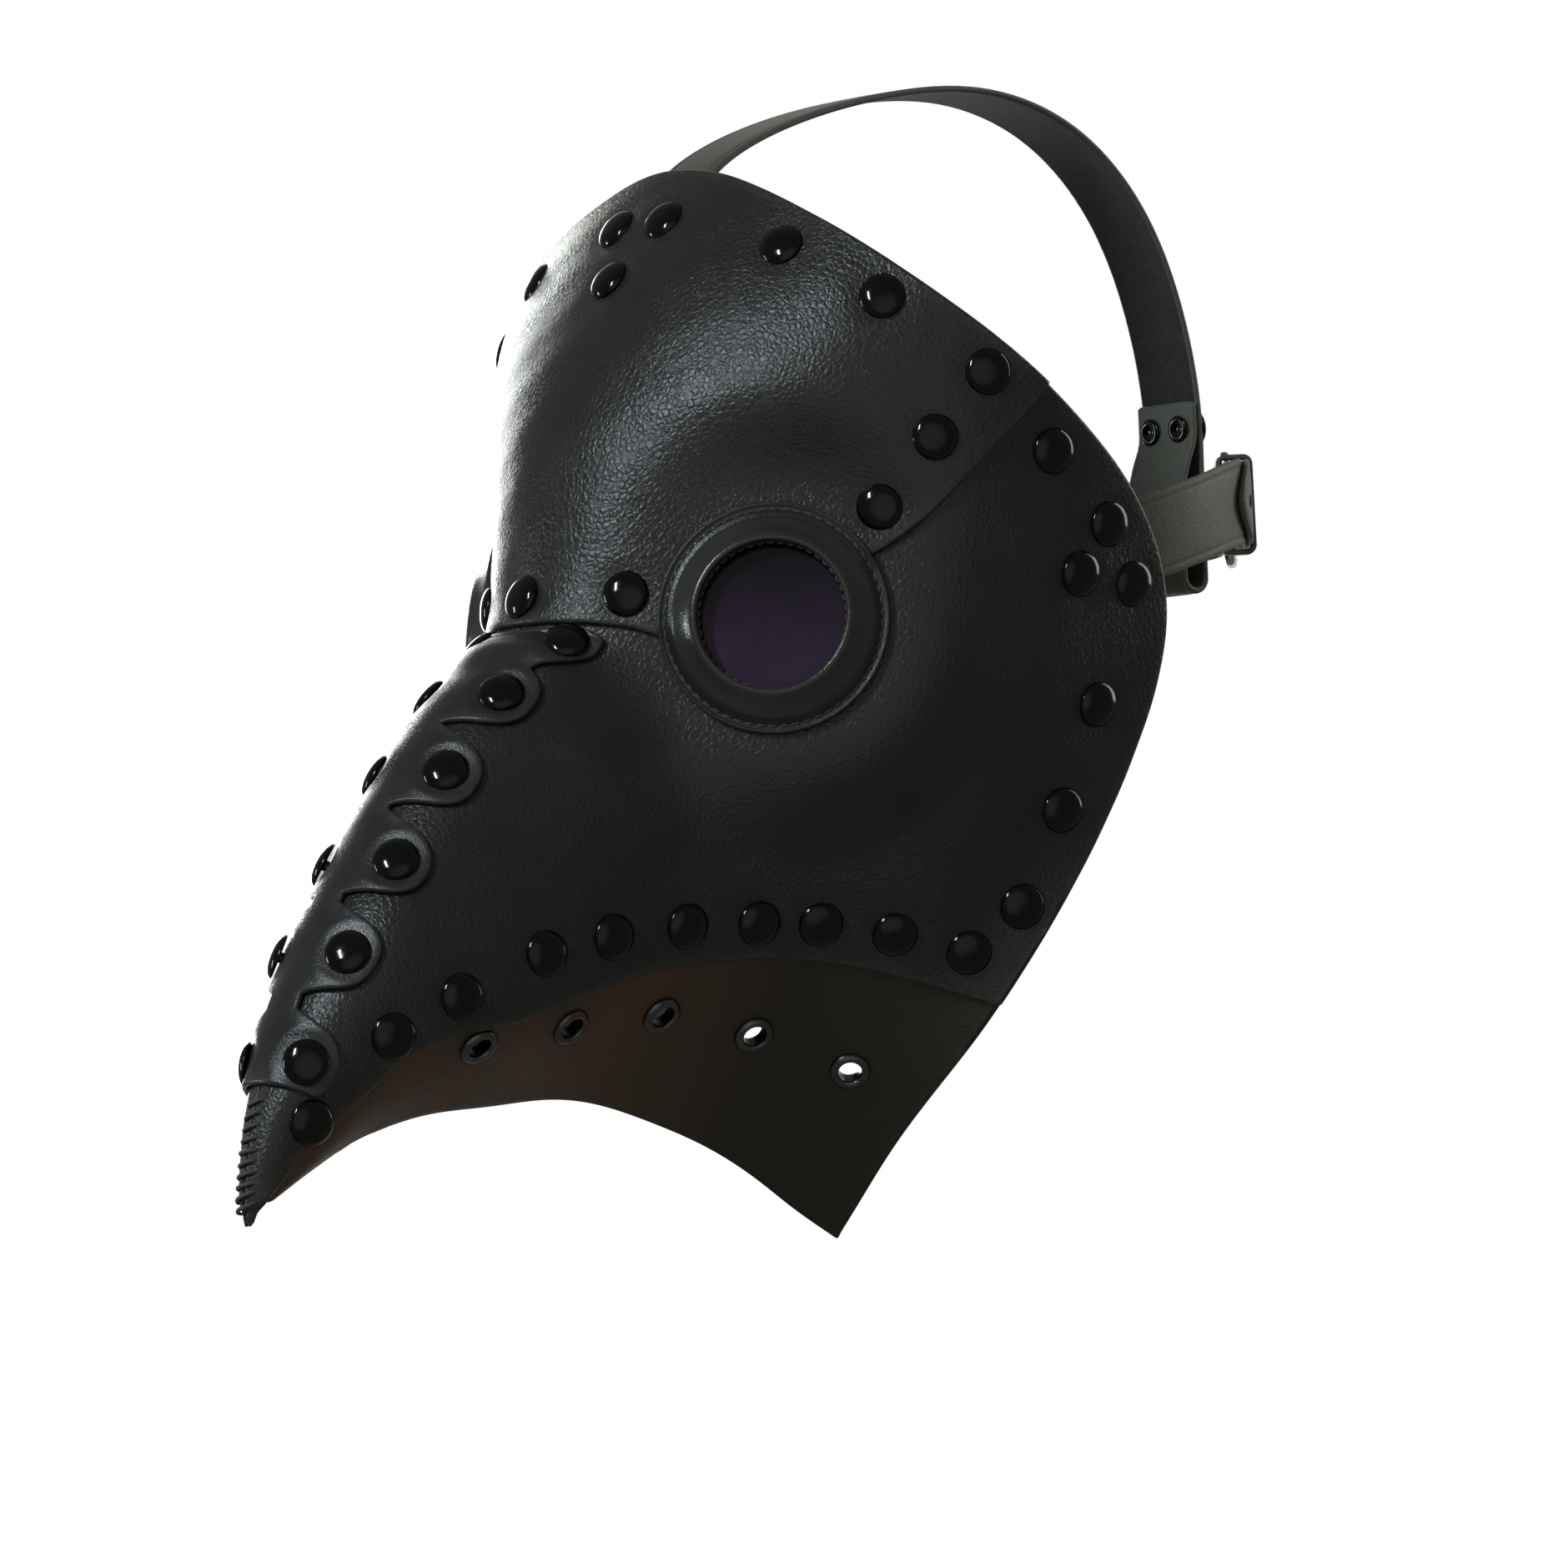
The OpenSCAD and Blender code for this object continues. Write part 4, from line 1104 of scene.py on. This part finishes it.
def make_buckle():
    """The square wire frame, and the prong on its bar."""
    tilt = math.atan2(2.2, 16)
    reach = math.hypot(16, 2.2)
    path, _ = rounded_loop(0, reach, -13.5, 13.5, 2.0)
    b = Build()
    p = in_buckle(-path[:, 0] * math.cos(tilt), path[:, 0] * math.sin(tilt), path[:, 1])
    tube(b, p, 1.38, 20, closed=True)
    finish_piece("buckle_frame_wire", b, ["buckle_frame"], "frame", "steel", STEEL)
    b = Build()
    hinge = stand(BUCKLE, (0, 0, 1))
    lathe(b, [(1.5, -1.2), (1.7, -1.45), (2.4, -1.45), (2.66, -1.2), (2.7, 0), (2.66, 1.2),
              (2.4, 1.45), (1.7, 1.45), (1.5, 1.2)], hinge, 40)
    x = np.array([-0.9, -3, -6, -9, -12, -14.5, -16.4, -17.5, -18.0])
    y = np.array([1.75, 2.3, 2.95, 3.55, 4.1, 4.5, 4.72, 4.72, 4.68])
    tube(b, in_buckle(x, y), np.array([0.9, 0.92, 0.92, 0.92, 0.91, 0.89, 0.85, 0.7, 0.35]), 16)
    finish_piece("buckle_prong_pin", b, ["buckle_prong"], "prong", "steel", STEEL)


def make_keeper():
    """The leather loop that holds the strap's tail down."""
    path, out = rounded_loop(-3.1, 5.1, -12.3, 12.3, 1.8)
    section = [(0.3, 0.65), (0, 0.3), (0, -0.3), (0.3, -0.65), (2.5, -0.68), (4.7, -0.65),
               (5, -0.3), (5, 0.3), (4.7, 0.65), (3.8, 0.68), (2.5, 0.74), (1.2, 0.68)]
    rows = []
    for (y, z), (oy, oz) in zip(path, out):
        rows.append([in_buckle(10 + s, y + h * oy, z + h * oz) for s, h in section])
    pts = np.array(rows)
    b = Build()
    b.add(pts, strips(len(path), len(section), wrap_u=True, wrap_v=True), 0.3)
    finish_piece("keeper_loop", b, ["strap_keeper"], "keeper", "strap_leather", STRAP_WITH_PAINTED_SHEEN)


# ---- build ----
# rows of rivets on each side: where, and the heights that their caps and inner caps sit at
SIDE_ROWS = (("seam", SEAM_AT, 3.8, 0), ("cheek", CHEEK_AT, 1.8, 0),
             ("strap", SIDE_STRAP_AT, 1.8, -4.6), ("jaw", JAW_AT, 1.8, -2.0),
             ("ridge", RIDGE_AT, STRIP_LOW + STRIP_T, 0))
make_forehead()
for which in ("left", "right"):
    make_side(which)
    make_eyes(which)
    make_eyelets(which)
    for row, places, top, bottom in SIDE_ROWS:
        make_rivets(row + "_caps_" + which, [row + "_rivets_" + which], places, top, bottom,
                    other_side=which == "right")
make_rivets("top_edge_caps", ["top_edge_rivets"], TOP_EDGE_AT, 3.8, 2.0, True)
make_rivets("top_strap_caps", ["top_strap_rivets"], TOP_STRAP_AT, 3.8, -2.2)
make_rivets("bridge_caps", ["bridge_rivets"], BRIDGE_AT, 3.8, 0)
make_chin()
make_ridge_strip()
make_tip_stitches()
make_left_strap()
make_right_strap()
make_top_strap()
make_loop_rivets()
make_buckle()
make_keeper()


# ---- stage, light and camera ----
AIM = np.array([46.883, -75.122, -40.654])
CAMERA_TURN, CAMERA_TILT, CAMERA_ROLL = 50, -2, 3  # degrees
DISTANCE = 2400.0


def camera_axes():
    """The camera's right, up and back directions, from its turn, tilt and roll."""
    turn, tilt, roll = np.radians([CAMERA_TURN, CAMERA_TILT, CAMERA_ROLL])
    flat = np.cos(tilt)
    back = np.array([np.sin(turn) * flat, -np.cos(turn) * flat, np.sin(tilt)])
    across = np.array([np.cos(turn), np.sin(turn), 0])
    over = np.cross(back, across)
    right = np.cos(roll) * across - np.sin(roll) * over
    return right, np.cos(roll) * over + np.sin(roll) * across, back


RIGHT_DIR, UP_DIR, BACK_DIR = camera_axes()
SENSOR = 36.0
ROOM_COLOR = (1.0, 0.985, 0.91, 1)
# directions whose cosine runs from the first to the second number get a glow between the
# third and the fourth: the bright wall behind the object, and the dim one before it
ROOM_GLOWS = ((-BACK_DIR, (0.7, 1.0, 0.15, 0.85)), (BACK_DIR, (0.72, 0.95, 0.0, 0.3)))
FLOOR_HALF, FLOOR_Z = 9.0, -0.34
VIEW_WIDTH = 391.667
CLIP_END = 50


def make_camera():
    """The camera, which looks at AIM from DISTANCE away."""
    data = bpy.data.cameras.new("camera")
    data.sensor_width = SENSOR
    data.lens = SENSOR * DISTANCE / VIEW_WIDTH
    data.clip_end = CLIP_END
    cam = place_object("camera", data)
    m = Matrix.Identity(4)
    for row in range(3):
        m[row][0], m[row][1], m[row][2] = RIGHT_DIR[row], UP_DIR[row], BACK_DIR[row]
        m[row][3] = (AIM[row] + DISTANCE * BACK_DIR[row]) * MM
    cam.matrix_world = m
    bpy.context.scene.camera = cam


def toward(azimuth, elevation):
    """A direction: degrees round from the front to the wearer's left, and degrees up."""
    a, e = math.radians(azimuth), math.radians(elevation)
    return Vector((math.sin(a) * math.cos(e), -math.cos(a) * math.cos(e), math.sin(e)))


def softbox(name, direction, distance, width, height, watts, color, spin=0):
    """A rectangular studio light that faces the mask's middle. Sizes in metres."""
    data = bpy.data.lights.new(name, "AREA")
    data.shape = "RECTANGLE"
    data.size, data.size_y = width, height
    data.energy, data.color = watts, color
    light = place_object(name, data)
    d = direction
    light.location = Vector(AIM * MM) + d * distance
    turn = Quaternion((0, 0, 1), math.radians(spin))
    light.rotation_euler = (d.to_track_quat("Z", "Y") @ turn).to_euler()


def make_world():
    """A soft pale room for the reflections, and plain white where the camera looks."""
    world = bpy.data.worlds.new("studio")
    bpy.context.scene.world = world
    world.use_nodes = True
    tree = world.node_tree
    join = tree.links.new
    tree.nodes.clear()
    out = tree.nodes.new("ShaderNodeOutputWorld")
    coord = tree.nodes.new("ShaderNodeTexCoord")
    levels = []
    for axis, limits in ROOM_GLOWS:
        dot = tree.nodes.new("ShaderNodeVectorMath")
        dot.operation = "DOT_PRODUCT"
        dot.inputs[1].default_value = tuple(axis)
        join(coord.outputs["Generated"], dot.inputs[0])
        ramp = tree.nodes.new("ShaderNodeMapRange")
        ramp.interpolation_type = "SMOOTHSTEP"
        for k, x in enumerate(limits):
            ramp.inputs[k + 1].default_value = x
        join(dot.outputs["Value"], ramp.inputs[0])
        levels.append(ramp.outputs[0])
    level = tree.nodes.new("ShaderNodeMath")
    join(levels[0], level.inputs[0])
    join(levels[1], level.inputs[1])
    room = tree.nodes.new("ShaderNodeBackground")
    room.inputs["Color"].default_value = ROOM_COLOR
    join(level.outputs[0], room.inputs["Strength"])
    plain = tree.nodes.new("ShaderNodeBackground")
    plain.inputs["Color"].default_value = (1, 1, 1, 1)
    ray = tree.nodes.new("ShaderNodeLightPath")
    mix = tree.nodes.new("ShaderNodeMixShader")
    join(ray.outputs["Is Camera Ray"], mix.inputs[0])
    join(room.outputs[0], mix.inputs[1])
    join(plain.outputs[0], mix.inputs[2])
    join(mix.outputs[0], out.inputs["Surface"])


def make_floor():
    b = bpy.data.meshes.new("floor")
    size, z = FLOOR_HALF, FLOOR_Z
    b.from_pydata([(-size, -size, z), (size, -size, z), (size, size, z), (-size, size, z)], [],
                  [(0, 1, 2, 3)])
    n = Nodes("pale_floor")
    tone = n.mix(n.noise(0.004, 2.0), (0.9, 0.9, 0.9), (0.93, 0.93, 0.93))
    n.put(color=tone, rough=0.9, specular=0.1)
    n.shader.inputs["Emission Color"].default_value = (1, 1, 1, 1)
    n.shader.inputs["Emission Strength"].default_value = 1.0
    b.materials.append(n.material)
    obj = place_object("floor", b)
    obj.visible_glossy = obj.visible_diffuse = False


make_camera()
make_world()
make_floor()
softbox("key", toward(6, 33), 1.6, 0.11, 0.5, 12.5, (0.8, 0.92, 1.0), 25)
softbox("rim_left", toward(-111, 4), 1.4, 0.34, 0.9, 10.5, (0.94, 1, 0.95))
softbox("side", toward(-48, 2), 1.6, 0.04, 0.5, 4, (0.86, 0.94, 1.0), 12)
softbox("rim_right", toward(168, 20), 1.4, 0.5, 1.2, 6, (0.96, 1, 0.95))
bpy.context.scene.view_settings.view_transform = "Standard"
